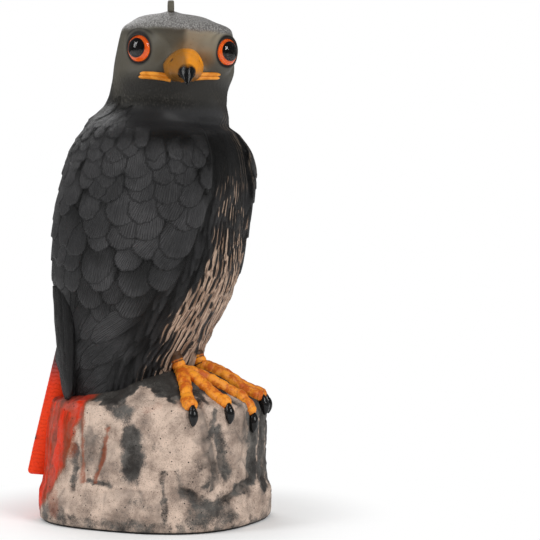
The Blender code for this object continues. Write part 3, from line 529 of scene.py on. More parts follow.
height = FIRST_ROW
odd = laid = 0
while height > LAST_ROW:
    width = np.interp(height, SCALE_HEIGHTS, SCALE_WIDTHS)
    row = np.interp(height, SCALE_HEIGHTS, ROW_STEPS)
    lift = np.interp(height, SCALE_HEIGHTS, SCALE_LIFTS)
    start = float(wing_edge(np.array(height))[0]) + FROM_WING_EDGE
    span = 2 * (math.pi - start)
    radius = WING_RADIUS if height < SHOULDER else NECK_RADIUS
    count = max(int(round(span * radius / (width * SPACING))), 6)
    for k in range(count):
        angle = start + span * (k + 0.5 * odd + 0.25) / count
        from_chest = abs(wrapped(angle))
        towards_back = (from_chest - start) / (math.pi - start)
        side = 1 if wrapped(angle) > 0 else -1
        lean = SWEEP * (1 - towards_back) * float(falls(height, SHOULDER, 90))
        scale = random.uniform(0.85, 1.2)
        spot_height = height + random.normal(0, 0.24) * row
        spot_angle = angle + random.normal(0, 0.13) * width / radius
        # The collar of scales reaches higher on the back than under the chin.
        if spot_height > COLLAR_FRONT + COLLAR_RISE * float(rises(from_chest, 0.9, 1.2)):
            continue
        tilt = side * lean + random.normal(0, 0.12)
        size = (width * scale, row * LENGTH_IN_ROWS * scale)
        # Low under the chin the first row rises softly out of the neck.
        near_neck = float(rises(spot_height, 282, 18)) * (from_chest < 1.0)
        spot_lift = lift * random.uniform(0.75, 1.1) * (1 - 0.55 * near_neck)
        lay_feather(spot_height, spot_angle, *size, spot_lift, tilt, 0.62)
        laid += 1
    height -= row
    odd = 1 - odd
print(laid, "scales on the wings and back")

# %% Long feathers that sweep back over the flanks
# height, then the first angle, the last and the step in degrees
FLANK_ROWS = ((158, 74, 150, 13), (138, 70, 150, 12), (120, 72, 150, 12), (104, 78, 150, 12))
# height, angle, width, length, lift and tilt of the broad ones behind each leg
THIGH_FEATHERS = ((112, 96, 24, 60, 1.6, 40), (122, 113, 35, 64, 3.0, 8))
laid = 0
for side, _ in SIDES:
    for height, first, last, step in FLANK_ROWS:
        for degrees in np.arange(first, last, step):
            angle = side * math.radians(degrees + random.uniform(-3, 3))
            tilt = side * math.radians(np.interp(degrees, (70, 110, 150), (58, 34, 8)))
            size = (random.uniform(19, 26), random.uniform(46, 62))
            spot_height = height + random.uniform(-3, 3)
            lift = random.uniform(1.1, 1.7)
            lay_feather(spot_height, angle, *size, lift, tilt, 0.55)
            laid += 1
    for height, degrees, width, length, lift, tilt in THIGH_FEATHERS:
        angle = side * math.radians(degrees)
        lay_feather(height, angle, width, length, lift, side * math.radians(tilt), 0.5)
        laid += 1
print(laid, "long feathers on the flanks")

# %% Slim pointed feathers down the breast
STREAK_LEAN = 0.22
BREAST_TOP, BREAST_FOOT, BREAST_STEP = 284.0, 100, 10
BREAST_REACH, SLIM_SPACING = 78, 6.5
height = BREAST_TOP
laid = 0
while height > BREAST_FOOT:
    edge = float(wing_edge(np.array(height))[0])
    count = max(int(2 * edge * BREAST_REACH / SLIM_SPACING), 6)
    for k in range(count):
        angle = edge * (2 * (k + random.uniform(0.1, 0.9)) / count - 1)
        size = (random.uniform(5.5, 9), random.uniform(24, 40))
        tilt = math.copysign(STREAK_LEAN, angle) * min(abs(angle) * 2.5, 1) + random.normal(0, 0.07)
        lift = random.uniform(0.7, 1.25) * float(falls(height, 292, 40))
        lay_feather(height + random.uniform(-6, 6), angle, *size, lift, tilt, 0.3)
        laid += 1
    height -= BREAST_STEP
print(laid, "feathers on the breast")

# %% [markdown]
# ## The face
# The head is nearly smooth, which is why its few forms matter so much: a ledge of brow
# over each eye gives the hawk its frown, and the cheeks swell below. A sculpting brush
# would make them too, but humps and hollows measured from the face's own axes keep their
# place and serve both sides.

# %% Eye frames
FACE = np.array((-28.3, -41.2, 366.6))
FACE_TILT = math.radians(1.7)
EYE_APART = 67.1
EYE_SPLAY = math.radians(39)
FORWARD = heading(HEAD_TURN)
RIGHT = heading(HEAD_TURN + math.pi / 2)
UP = np.array((0.0, 0.0, 1.0))
FACE_RIGHT = RIGHT * math.cos(FACE_TILT) + UP * math.sin(FACE_TILT)
FACE_UP = UP * math.cos(FACE_TILT) - RIGHT * math.sin(FACE_TILT)


def face_point(ahead, across, rise):
    return FACE + FORWARD * ahead + FACE_RIGHT * across + FACE_UP * rise


def eye_axes(side):
    """Centre of an eye's flat back, the way it looks, and its level axis."""
    out = heading(HEAD_TURN + side * EYE_SPLAY)
    return face_point(0, side * EYE_APART / 2, 0), out, np.cross(UP, out)


# %% Brow, cheeks and throat
BROW_RISE = 15.5
BROW_STEP, CHEEK_SWELL, CROWN_DROP, THROAT_FILL = 0.8, 0.9, 2.2, 1.8
from_face = body_rings - FACE
ahead = from_face @ FORWARD
across_face = from_face @ FACE_RIGHT
rise = from_face @ FACE_UP
head_share = rises(height_grid, 338, 14)
front_share = rises(ahead, -22, 16) * head_share
relief = feather_lift * (1 - rises(height_grid, 326, 14))

# The crown stands a little proud above a level line, and that step is the brow.
relief -= BROW_STEP * falls(rise, BROW_RISE, 2.6) * rises(rise, -4, 14) * front_share
relief += CHEEK_SWELL * hump(np.abs(across_face) - 24, 11) * hump(rise + 23, 9) * front_share
relief -= CROWN_DROP * rises(height_grid, 386, 9)
relief += THROAT_FILL * hump(height_grid - 314, 9) * rises(np.cos(turned_grid - 0.5), 0.2, 0.5)
print("forms of the head stand", round(relief[height_grid > 340].max(), 2), "mm proud at most")

# %% Painted shade round the eyes and under the brow
CREASE_RADIUS, SHADE_RADIUS = 14.6, 10.4
EYE_FRONT = -14
# Painted shade: a dark ring round each eye's seat, a dark crease over each eye, and a band of painted
# shadow under the brow.
eye_shade = np.zeros_like(relief)
for side, _ in SIDES:
    centre, out, level = eye_axes(side)
    offset = body_rings - centre
    facing = (offset @ out) > EYE_FRONT
    above = offset @ UP
    distance = np.hypot(offset @ level, above)
    crease = hump(distance - CREASE_RADIUS - 0.04 * above, 0.9) * np.clip(above / 9 - 0.1, 0, 1)
    eye_shade += np.where(facing, hump(distance - SHADE_RADIUS, 1.9) + 0.3 * crease, 0)
eye_shade += 0.3 * hump(rise - BROW_RISE + 3, 3.5) * rises(across_face, -2, 4) * front_share

# %% Swelling that carries the hanging eye
TAB_AHEAD = 14
SWELLING, SWELLING_RADIUS = 2.2, 6
tab_foot = np.array((SECTIONS[-1, 1], SECTIONS[-1, 2], CROWN)) + FORWARD * TAB_AHEAD
relief += SWELLING * hump(np.linalg.norm(body_rings - tab_foot, axis=2), SWELLING_RADIUS)

# %% [markdown]
# ### The neck
# Loose skin folds round the back of the turned neck, and long strands run down from the
# chin. A bump in the material would be quicker, but it would vanish at the outline. So
# they are waves of the grid itself: folds along the height, and strands along a course
# that bends with the turn of the head.

# %% Folds and strands of the neck
STRAND_PITCH, STRAND_HEIGHT = 5.5, 0.42
FOLD_HEIGHT, HAIR_HEIGHT, WAVE_HEIGHT = 0.55, 0.2, 0.3
twist = np.degrees(wrapped(angle_grid - HEAD_TURN * rises(height_grid, 296, 60)))
neck = rises(height_grid, 290, 16) * falls(height_grid, 350, 12)
drift = lumps(body_rings, 34, 2)
course = smooth_curve((258, 282, 302, 318, 328, 340), (-10, -7, -11, -10, 8, 25), height_grid)
off_course = np.degrees(turned_grid) - course + 1.8 * drift
strand_place = falls(off_course, 2, 8) * rises(off_course, -58, 20)
strand_place *= rises(height_grid, 246, 24) * falls(height_grid, 343, 6)
strand = np.sin(2 * math.pi * off_course / STRAND_PITCH + 1.2 * drift) * strand_place
relief += STRAND_HEIGHT * strand
fold = np.sin((height_grid - 0.35 * np.abs(np.abs(twist) - 180)) / 2.6 + 0.6 * drift)
relief += FOLD_HEIGHT * fold * neck * rises(np.abs(twist), 120, 25)
hair = lumps(body_rings * (1.0, 1.0, 0.6), 2.2, 2)
stippled = rises(height_grid, 318, 14) * falls(height_grid, 354, 9)
stippled *= falls(np.abs(twist), 110, 30) * rises(twist, -10, 35)
waves = WAVE_HEIGHT * lumps(body_rings, 26, 3) * (1 - 0.6 * head_share)
relief += HAIR_HEIGHT * hair * stippled + waves

# %% [markdown]
# ### The breast
# Pale streaks run down the breast and part round dark hollows shaped like lenses, in
# staggered rows. They could be drawn one by one. The product of one cosine across and one
# down gives just such a pattern, and noise bends it so that no two streaks match. The
# material reads the same two waves later, so the paint follows the carving.

# %% Hollows between the streaks
STREAK_PITCH, STREAK_LENGTH, STREAK_DEPTH = 7.2, 37.0, 0.75
STREAK_SWAY, STREAK_SLIP = 2.8, 16
BREAST_RADIUS, BREAST_MIDDLE = 80, 200
slanted = turned_grid * BREAST_RADIUS
slanted = slanted - STREAK_LEAN * (BREAST_MIDDLE - height_grid) * np.clip(slanted / 22, -1, 1)
sway = lumps(body_rings, 27, 3)
lens_across = 2 * math.pi * (slanted + STREAK_SWAY * sway) / STREAK_PITCH
lens_down = 2 * math.pi * (height_grid + STREAK_SLIP * np.roll(sway, 50, axis=1)) / STREAK_LENGTH
streak_inset = np.radians(smooth_curve((146, 174, 218, 254), (19, 15, 10, 4), height_grid))
# On the bird's left the streaks run on past the wing's edge, low down.
past_edge = math.radians(16) * falls(height_grid, 258, 30) * (turned_grid < 0)
streak = ease((edge_grid + past_edge - streak_inset - beside_grid) / math.radians(9))
hollows = STREAK_DEPTH * np.cos(lens_across) * np.cos(lens_down)
relief -= hollows * streak * falls(height_grid, 262, 40)
print("relief runs from", round(relief.min(), 2), "to", round(relief.max(), 2), "mm")

# %% [markdown]
# ### Seats for the eyes
# Each eye sits in a round seat, and the skin is drawn up to the lens's rim all round. A
# boolean cut would leave ragged faces in the grid. So the grid's points are moved
# instead: round the eye out to the rim, and within it back behind the disc.

# %% Seats for the eyes
INSET = 1.2
SEAT_RADIUS, SEAT_DEPTH = 10.4, 3.4
LID_LEVEL, LID_OVERHANG = 0.4, 1.3
DRAWN_RADIUS, DRAWN_WIDTH = 19, 7.5
EYE_BACK = -15
body_points = body_rings + body_normals * (relief - INSET)[..., None]
for side, _ in SIDES:
    centre, out, level = eye_axes(side)
    offset = body_points - centre
    depth, above = offset @ out, offset @ UP
    distance = np.hypot(offset @ level, above)
    # On top the skin hangs over the rim a little.
    lid = LID_LEVEL + LID_OVERHANG * np.clip(above / 10, -0.3, 1)
    drawn = falls(distance, DRAWN_RADIUS, DRAWN_WIDTH) * (depth > EYE_BACK)
    body_points = body_points + out * (drawn * (lid - depth))[..., None]
    in_seat = (distance < SEAT_RADIUS) & (depth > EYE_BACK)
    sunk = ((body_points - centre) @ out + SEAT_DEPTH) * in_seat
    body_points = body_points - out * sunk[..., None]
    print("eye seat", side, "holds", int(in_seat.sum()), "points")

# %% [markdown]
# ### Masks for the paint
# An airbrush follows the form: pale on the breast and grey on the face. Under the chin it is
# dark, which is painted shade, and one side of the face is paler as painted light.
# Masks can be painted by hand into images, but here each is worked out from heights,
# angles and noise, and stored at the mesh's points, three to a vector. The material then
# reads them by name.

# %% Masks for the paint
density = (0.25 + 0.75 * falls(height_grid, 240, 66)) * falls(height_grid, 292, 44)
# Painted shadow: fewer pale streaks low between the legs, under the belly.
shadow_between_legs = hump(np.degrees(turned_grid) - 42, 15) * falls(height_grid, 154, 14)
density = density * (1 - 0.85 * shadow_between_legs)
# Painted shade under the chin.
chin_shade = hump(height_grid - 339, 12) * rises(np.cos(np.radians(twist)), 0.1, 0.5)
from_front = rises(np.cos(np.radians(twist)), -0.3, 0.7)
face_share = rises(height_grid, 318, 38) * (0.15 + 0.85 * from_front)
face_share = np.maximum(face_share, 0.9 * rises(height_grid, 376, 10))
brow_line = BROW_RISE - 2.4 * falls(across_face, 1, 6) + 1.5 * lumps(body_rings, 12, 3)
crown_mask = ease((rise - brow_line + 2.2) / 5.0) * rises(height_grid, 372, 9)
beak_near = hump(np.linalg.norm(body_rings - face_point(8, -4, -10), axis=2), 22) * head_share
# Painted light: one side of the face is painted paler, as if lit.
lit_side = ease((1.5 - across_face + 1.6 * lumps(body_rings, 11, 2)) / 5)
face_light = lit_side * rises(rise, -10, 12) * rises(ahead, -6, 12) * head_share
plume_map = np.stack([lens_across, lens_down, relief], axis=-1)
paint_map = np.stack([streak * density, face_share, chin_shade], axis=-1)
face_map = np.stack([crown_mask, beak_near, face_light], axis=-1)
print("the pale streaks cover", round(float((streak * density).mean()), 3), "of the skin")

# %% [markdown]
# ## Plumage paint
# The bird was sprayed charcoal all over. Then the high spots were dusted with blue-grey, which
# also serves as a painted highlight, the breast was streaked with pale tan, and the face was
# fogged with grey, with a warm grey on its lit side as painted light. One mix of colours by noise
# would look like marble. So the material lays coat over coat in the painter's order, each by
# its own function, and the crevices get the darkest coat as painted shade.

# %% Plumage colours
CHARCOAL = srgb(38, 38, 39)
# Painted shade for the crevices between the feathers and for the moulded pits.
RECESS_SHADE = srgb(11, 11, 11)
SLATE = srgb(82, 81, 82)
BUFF = srgb(202, 174, 152)
UMBER = srgb(38, 32, 28)
FACE_GREY = srgb(92, 88, 77)
CROWN_GREY = srgb(150, 148, 145)
LIT_FACE_GREY = srgb(152, 142, 122)
OCHRE = srgb(172, 124, 52)


# %% Coats of paint on the plumage
def feather_coat(tree, spot, feather, relief_at, lift_low, lift_high):
    """Charcoal with painted shade in the crevices, slate dusted over high spots and barbs, partly as
    painted highlight.
    """
    high_spot = spread(tree, relief_at, lift_low, lift_high)
    # Painted shade: the low parts of each feather, under the tips of the row above, are darkest.
    coat = mixed(tree, high_spot, RECESS_SHADE, CHARCOAL)
    # Slate dry-brushed over the high spots and the feather tips, which is also a painted highlight.
    cloud = {"Position": spot, "Scale": 24.0, "Cover": 0.5, "Softness": 0.2}
    dust_and_highlight = calc(tree, "MULTIPLY", use_group(tree, airbrush, cloud)["Mask"], high_spot)
    pale_tip_and_highlight = spread(tree, feather["Along"], 0.72, 1.0, 0.0, 0.55)
    streaky = calc(tree, "MULTIPLY", feather["Height"], 0.75)
    dust_and_highlight = calc(tree, "MULTIPLY", calc(tree, "MAXIMUM", dust_and_highlight, pale_tip_and_highlight), streaky)
    coat = mixed(tree, dust_and_highlight, coat, SLATE)
    tone = calc(tree, "MULTIPLY_ADD", feather["Number"], 0.35, 0.82)
    grey = put(tree, "ShaderNodeCombineColor", {0: tone, 1: tone, 2: tone}).outputs[0]
    return mixed(tree, 1.0, coat, grey, "MULTIPLY")


def streak_coat(tree, coat, lens_across, lens_down, streak_at, strand_at):
    """Buff dry-brushed over the ridges between the dark lens-shaped hollows."""
    flat = put(tree, "ShaderNodeCombineXYZ", {0: lens_across, 1: lens_down}).outputs[0]
    flames = grain(tree, stretched(tree, flat, (0.16, 0.22, 1.0)), 1.0, 3.0, 0.55, 0.5)
    fine = grain(tree, stretched(tree, flat, (1.1, 0.7, 1.0)), 1.0, 3.0, 0.65, 0.3)
    waves = calc(tree, "COSINE", lens_across), calc(tree, "COSINE", lens_down)
    hollow = calc(tree, "MULTIPLY", *waves)
    allowed = calc(tree, "MULTIPLY_ADD", streak_at, 1.35, -1.0)
    over = calc(tree, "SUBTRACT", allowed, hollow)
    over = calc(tree, "MULTIPLY_ADD", calc(tree, "SUBTRACT", fine, 0.5), 1.7, over)
    over = calc(tree, "MULTIPLY_ADD", calc(tree, "SUBTRACT", flames, 0.5), 3.4, over)
    pale = calc(tree, "MULTIPLY", spread(tree, over, -0.12, 0.3), spread(tree, streak_at, 0.02, 0.25))
    under = mixed(tree, calc(tree, "MULTIPLY", streak_at, 0.75), coat, UMBER)
    tint = mixed(tree, spread(tree, fine, 0.38, 0.6), srgb(116, 92, 77), BUFF)
    tint = mixed(tree, spread(tree, flames, 0.58, 0.4, 0.0, 0.75), tint, srgb(122, 92, 70))
    brushed = calc(tree, "MULTIPLY", spread(tree, strand_at, 0.25, 0.9), spread(tree, fine, 0.42, 0.62))
    under = mixed(tree, calc(tree, "MULTIPLY", brushed, 0.7), under, srgb(122, 106, 90))
    return mixed(tree, pale, under, tint)


def face_coat(tree, coat, spot, stipple, head_at, chin_shade_at):
    """Fogged grey face, paler on its lit side as painted light, stippled pale crown, ochre by the beak,
    painted shade by eyes and chin.
    """
    crown_at, beak_at, light_at = axes_of(tree, stored(tree, "face_map", "Vector"))
    cloud = {"Position": spot, "Scale": 40.0, "Cover": 0.5, "Softness": 0.3}
    fog = calc(tree, "MULTIPLY", use_group(tree, airbrush, cloud)["Mask"], 0.5)
    face = mixed(tree, fog, FACE_GREY, srgb(72, 69, 62))
    # Painted light: the lit side of the face is painted a paler warm grey.
    face = mixed(tree, calc(tree, "MULTIPLY", light_at, 0.8), face, LIT_FACE_GREY)
    crown = mixed(tree, spread(tree, stipple, 0.15, 0.75), CROWN_GREY, srgb(100, 98, 96))
    face = mixed(tree, crown_at, face, crown)
    face = mixed(tree, calc(tree, "MULTIPLY", spread(tree, beak_at, 0.42, 0.95), 0.5), face, OCHRE)
    # Painted shade round the eyes and under the brow.
    face = mixed(tree, spread(tree, stored(tree, "eye_shade"), 0.0, 0.8), face, srgb(26, 23, 21))
    coat = mixed(tree, head_at, coat, face)
    # Painted shade: darker under the chin.
    return mixed(tree, calc(tree, "MULTIPLY", chin_shade_at, 0.8), coat, srgb(30, 29, 28))


# %% Plumage material
def plumage_material(name, lines, lift_low, lift_high):
    material, tree, shader = new_material(name, specular=0.24)
    spot = object_space(tree)
    own_place = stored(tree, "plume", "Vector")
    feather = use_group(tree, barbs, {"Plume": own_place, "Lines": lines, "Fan": 0.5})
    surface = use_group(tree, moulded, {"Position": spot, "Grain": 420.0, "Pits": 260.0})
    lens_across, lens_down, relief_at = axes_of(tree, stored(tree, "plume_map", "Vector"))
    streak_at, head_at, chin_shade_at = axes_of(tree, stored(tree, "paint_map", "Vector"))
    stipple = put(tree, "ShaderNodeTexVoronoi", {"Vector": spot, "Scale": 800.0}).outputs["Distance"]

    fuzz_at = stored(tree, "fuzz")
    hair = grain(tree, stretched(tree, spot, (1.0, 1.0, 0.5)), 760.0, detail=2.0, roughness=0.5)
    coat = feather_coat(tree, spot, feather, relief_at, lift_low, lift_high)
    tipped = calc(tree, "MULTIPLY", fuzz_at, spread(tree, hair, 0.48, 0.7))
    coat = mixed(tree, calc(tree, "MULTIPLY", tipped, 0.42), coat, srgb(112, 107, 100))
    coat = streak_coat(tree, coat, lens_across, lens_down, streak_at, stored(tree, "strand"))
    coat = face_coat(tree, coat, spot, stipple, head_at, chin_shade_at)
    # Painted shade in the moulded pits.
    coat = mixed(tree, calc(tree, "MULTIPLY", surface["Pit"], 0.15), coat, RECESS_SHADE)
    gloss = calc(tree, "MULTIPLY_ADD", surface["Height"], 0.3, 0.34)

    # Barbs fade out on the head and the streaked breast. The crown is pebbled, and the
    # side of the neck is hairy.
    crown_at = axes_of(tree, stored(tree, "face_map", "Vector"))[0]
    plain = calc(tree, "MAXIMUM", head_at, calc(tree, "MULTIPLY", streak_at, 0.7))
    lines_up = calc(tree, "MULTIPLY", feather["Height"], calc(tree, "SUBTRACT", 1.0, plain))
    total = calc(tree, "MULTIPLY_ADD", surface["Height"], 0.4, lines_up)
    total = calc(tree, "MULTIPLY_ADD", calc(tree, "MULTIPLY", crown_at, stipple), -1.3, total)
    total = calc(tree, "MULTIPLY_ADD", calc(tree, "MULTIPLY", fuzz_at, hair), 1.8, total)
    finish(tree, shader, coat, gloss, total, 0.9, 0.0006)
    return material


plumage_paint = plumage_material("Charcoal plumage paint", lines=42.0, lift_low=0.15, lift_high=1.1)
print(plumage_paint.name, "has", len(plumage_paint.node_tree.nodes), "nodes")

# %% Body and head
bird = solid("bird_skin", body_points, plumage_paint)
keep_values(bird, plume=plume, plume_map=plume_map, paint_map=paint_map, face_map=face_map)
keep_values(bird, eye_shade=np.clip(eye_shade, 0, 1), strand=np.clip(strand, 0, 1), fuzz=stippled)
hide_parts("shell")

# %% [markdown]
# ## Wing tips
# The folded wings end in long flight feathers that lie beside the tail and reach the
# rock. They stand clear of the belly there, so the body's grid can't carry them. Each is a
# flattened tube from the flank to the rock's shoulder, with the edges of four feathers
# stepping across it, and both its ends are sunk into their neighbours.

# %% Rock sections
# The rock's sizes come first, because the wing tips and the toes end on it.
ROCK_HEIGHTS = (0, 3, 12, 22, 30, 44, 64, 78, 88, 94, 99, 106, 112, 116, 119, 120.5, 121)
ROCK_LENGTHS = (86, 88, 88.6, 88.8, 86.5, 85, 84.6, 84, 83, 81, 71, 60, 50, 41, 31, 18, 2)
ROCK_WIDTHS = (79, 81, 81.6, 80.6, 78, 76.5, 76, 75, 73.5, 71, 62, 53, 45, 36, 27, 16, 2)
ROCK_LEANS = (0, 0, 0, 0, 0, 0.5, 1.6, 3, 4.4, 4.4, 4, 4, 4, 4, 4, 4, 4)
ROCK_SQUARE = 2.6
ROCK_LEAST_REACH = 0.3
ROCK_SHOULDER, ROCK_TOP = 44.0, 121.0


def rock_sizes(height):
    """Half-length, half-width and backward lean of the rock at a height."""
    tables = (ROCK_LENGTHS, ROCK_WIDTHS, ROCK_LEANS)
    return [smooth_curve(ROCK_HEIGHTS, table, height) for table in tables]


def rock_points(height, angle, inset=0.0):
    along, across, lean = rock_sizes(height)
    reach = polar_reach(along, across, angle, ROCK_SQUARE) - inset
    reach = np.maximum(reach, ROCK_LEAST_REACH)
    middle = np.stack(np.broadcast_arrays(lean, 0 * lean, height + 0 * angle), axis=-1)
    return middle + heading(angle) * reach[..., None]


def rock_top(x, y):
    """Height of the rock over a point of the plan, found by halving."""
    low, high = ROCK_SHOULDER, ROCK_TOP
    for _ in range(30):
        middle = (low + high) / 2
        along, across, lean = (float(size) for size in rock_sizes(middle))
        angle = math.atan2(lean - x, -y)
        inside = math.hypot(x - lean, y) < float(polar_reach(along, across, angle, ROCK_SQUARE))
        low, high = (middle, high) if inside else (low, middle)
    return low


# %% Wing tip shapes
TIP_TOP, TIP_SUNK, TIP_END_RADIUS = 184.0, 6.5, 73
TIP_TOP_DEGREES, TIP_END_DEGREES = 124, 131
TIP_HALF_WIDTH, TIP_HALF_THICKNESS = 17, 6.5
TIP_FEATHERS = 4


def wing_tip(side):
    top_angle = math.radians(TIP_TOP_DEGREES) * side
    end_angle = math.radians(TIP_END_DEGREES) * side
    start = skin_points(np.array(TIP_TOP), np.array(top_angle), TIP_SUNK)
    plan = heading(end_angle) * TIP_END_RADIUS
    end = np.array((plan[0], plan[1], rock_top(plan[0], plan[1])))
    u = np.linspace(0, 1, 90)[:, None]
    turn = np.linspace(0, 2 * math.pi, 72, endpoint=False)[None, :]
    middle = start + (end - start) * u[..., None]
    bearing = top_angle + (end_angle - top_angle) * u
    outer, tangent = heading(bearing), heading(bearing + math.pi / 2)
    rounded_end = np.sqrt(1 - np.clip((u - 0.86) / 0.142, 0, 1) ** 2)
    wide = TIP_HALF_WIDTH * (1 - 0.32 * u**2) * rounded_end
    thick = TIP_HALF_THICKNESS * (1 - 0.7 * u * u)
    across = np.cos(turn) + 0 * u
    # The feathers overlap across the tip, each with a step at its edge.
    slot_at = (across * 0.5 + 0.5) * TIP_FEATHERS + 0.5 * u
    within = slot_at - np.floor(slot_at)
    ridge = (0.9 * within - 0.45) * (np.abs(np.sin(turn)) ** 0.5) * (1 - 0.5 * u)
    rings = middle + tangent * (wide * np.cos(turn))[..., None]
    rings = rings + outer * (thick * np.sin(turn) + ridge * np.sign(np.sin(turn)))[..., None]
    rings = rings + outer * (0.4 * lumps(rings, 12, 3))[..., None]
    own = np.stack([within * 2 - 1, u + 0 * turn, np.floor(slot_at) / 5 + 0.05], axis=-1)
    return rings, own, ridge


for side, word in SIDES:
    rings, tip_plume, ridge = wing_tip(side)
    piece = solid("wing_tip_" + word, rings, plumage_paint)
    blank = np.zeros(rings.shape)
    keep_values(piece, plume=tip_plume, paint_map=blank, face_map=blank)
    keep_values(piece, plume_map=np.stack([rings[..., 0], rings[..., 2], 0.5 + ridge], axis=-1))
    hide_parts("shell")

# %% [markdown]
# ## The rock
# The rock is a rounded block with upright slabs, cracks and a low ledge, all carved in
# the mould. Noise alone would give lumps but no slabs. So each groove and each edge of a
# slab is a stroke placed by angle and height, hair cracks follow a pattern of cells, and
# broad lumps keep any two slabs from matching. Underneath, the rim, the recess and the
# filling hole are real, and the hole opens into the hollow rock.

# %% Strokes across the rock
ROCK_COLUMNS, WALL_ROWS, TOP_ROWS = 520, 112, 62
WALL_TOP = 96
rock_around = circle(ROCK_COLUMNS)
upright_rows = np.linspace(0, WALL_TOP, WALL_ROWS, endpoint=False)
top_rows = WALL_TOP + (ROCK_TOP - WALL_TOP) * np.linspace(0, 1, TOP_ROWS) ** 0.8
wall = np.concatenate([upright_rows, top_rows])
rock_height, rock_angle = np.meshgrid(wall, rock_around, indexing="ij")
rock_rings = rock_points(rock_height, rock_angle)
rock_normals = outward(rock_rings)
coarse, medium, small = (lumps(rock_rings, size, 3) for size in (34, 12, 4))
ROCK_RADIUS = 84


def from_stroke(path, wander=0.0):
    """Distance in mm from a stroke of (degrees, height) points, and the side it lies on."""
    start = math.radians(path[0][0])
    x = wrapped(rock_angle - start) * ROCK_RADIUS + wander * medium
    y = rock_height + wander * np.roll(medium, 40, axis=1)
    nearest = np.full_like(x, 1e9)
    signed = np.zeros_like(x)
    line = [(float(wrapped(math.radians(d) - start)) * ROCK_RADIUS, h) for d, h in path]
    for (ax, ay), (bx, by) in zip(line, line[1:]):
        length = math.hypot(bx - ax, by - ay) + 1e-6
        share = np.clip(((x - ax) * (bx - ax) + (y - ay) * (by - ay)) / length**2, 0, 1)
        away = np.hypot(x - ax - share * (bx - ax), y - ay - share * (by - ay))
        side = ((x - ax) * (by - ay) - (y - ay) * (bx - ax)) / length
        signed = np.where(away < nearest, side, signed)
        nearest = np.minimum(away, nearest)
    return nearest, signed


# %% Grooves and slab edges
# half-width and depth in mm, then the stroke as (degrees, height) points
GROOVES = (
    (4.5, 1.7, ((112, 90), (108, 66), (107, 36))),
    (3.5, 1.5, ((91, 80), (93, 58), (97, 38))),
    (6, 2.2, ((112, 60), (112, 30))),
    (11, 2.6, ((75, 76), (73, 58), (74, 44))),
    (8, 1.8, ((88, 96), (81, 86))),
    (3, 1.6, ((102, 36), (86, 35))),
    (2.6, 1.3, ((53, 50), (48, 38), (45, 30))),
    (4.5, 3.0, ((46, 33), (38, 25), (31, 21), (20, 27), (4, 33))),
    (2.2, 1.8, ((31, 50), (30, 32))),
    (8, 2.6, ((28, 76), (25, 58), (23, 44))),
    (6, 1.4, ((131, 42), (129, 26))),
    (6, 1.8, ((-16, 92), (-20, 60), (-14, 34))),
    (5, 1.8, ((-34, 60), (-30, 30), (-36, 12))),
    (6, 2.4, ((-52, 94), (-48, 62), (-56, 30))),
    (7, 2.6, ((-84, 90), (-88, 60), (-80, 38))),
    (4, 1.6, ((-100, 60), (-96, 22))),
    (7, 2.8, ((-118, 92), (-112, 66), (-120, 40))),
    (5, 2.0, ((-134, 86), (-130, 60), (-137, 38))),
    (5, 2.0, ((134, 86), (130, 62), (137, 42))),
    (4, 1.6, ((-28, 38), (-62, 28), (-92, 34))),
    (2.2, -1.0, ((52, 2), (52, 48))),
    (3, -1.2, ((-4, 84), (1, 60))),
    (3, -1.0, ((-26, 88), (-28, 40))),
)
# depth, how far the fall reaches, then the stroke: the ground drops on its right-hand side
SLAB_EDGES = (
    (2.4, 10, ((27, 42), (32, 70), (36, 94))),
    (2.6, 14, ((1, 30), (2, 64), (6, 94))),
    (1.6, 12, ((106, 92), (105, 60), (106, 36))),
    (2.4, 12, ((-42, 24), (-36, 60), (-40, 94))),
    (2.4, 12, ((-72, 30), (-66, 62), (-70, 94))),
    (2.6, 12, ((-104, 24), (-100, 60), (-106, 94))),
    (2.0, 10, ((146, 92), (140, 60), (144, 30))),
    (2.0, 10, ((-146, 30), (-140, 62), (-146, 92))),
    (0.9, 20, ((60, 30), (80, 33), (100, 28), (118, 30))),
)

# %% Rock relief
CRACK_CELL, CRACK_WIDTH, CRACK_DEPTH = 27, 0.07, 0.7
OUTMOST = 0.2
rock_relief = 0.9 * np.minimum(coarse, 0.4) + 0.45 * medium + 0.2 * small
for half_width, depth, path in GROOVES:
    away, _ = from_stroke(path, 2.5)
    rock_relief -= depth * ease(1 - away / half_width)
for depth, fall, path in SLAB_EDGES:
    away, side = from_stroke(path, 2.0)
    drop = ease(side / 1.6 + 0.5) * np.exp(-np.maximum(away, 0) / fall)
    rock_relief -= depth * drop * ((away - np.abs(side)) < 4)
cells = [noise.voronoi(Vector(p))[0] for p in (rock_rings.reshape(-1, 3) / CRACK_CELL).tolist()]
crack = np.array([far - near for near, far, *_ in cells]).reshape(rock_height.shape)
rock_relief -= CRACK_DEPTH * hump(crack, CRACK_WIDTH)
rock_relief *= ease(rock_height / 5) * falls(rock_height, ROCK_TOP, 14)
carved_rock = rock_rings + rock_normals * np.minimum(rock_relief, OUTMOST)[..., None]
print("rock relief from", round(rock_relief.min(), 2), "to", round(rock_relief.max(), 2), "mm")


# %% Underside and filling hole
HOLE_RADIUS, FLANGE_SEAT = 14, 17.8
SEAT_LEVEL, FOOT_RECESS = 4.1, 2.0


def oblong_ring(along, across, height):
    reach = polar_reach(along, across, rock_around, ROCK_SQUARE)
    return heading(rock_around) * reach[:, None] + UP * height


def round_ring(radius, height):
    return heading(rock_around) * radius + UP * height


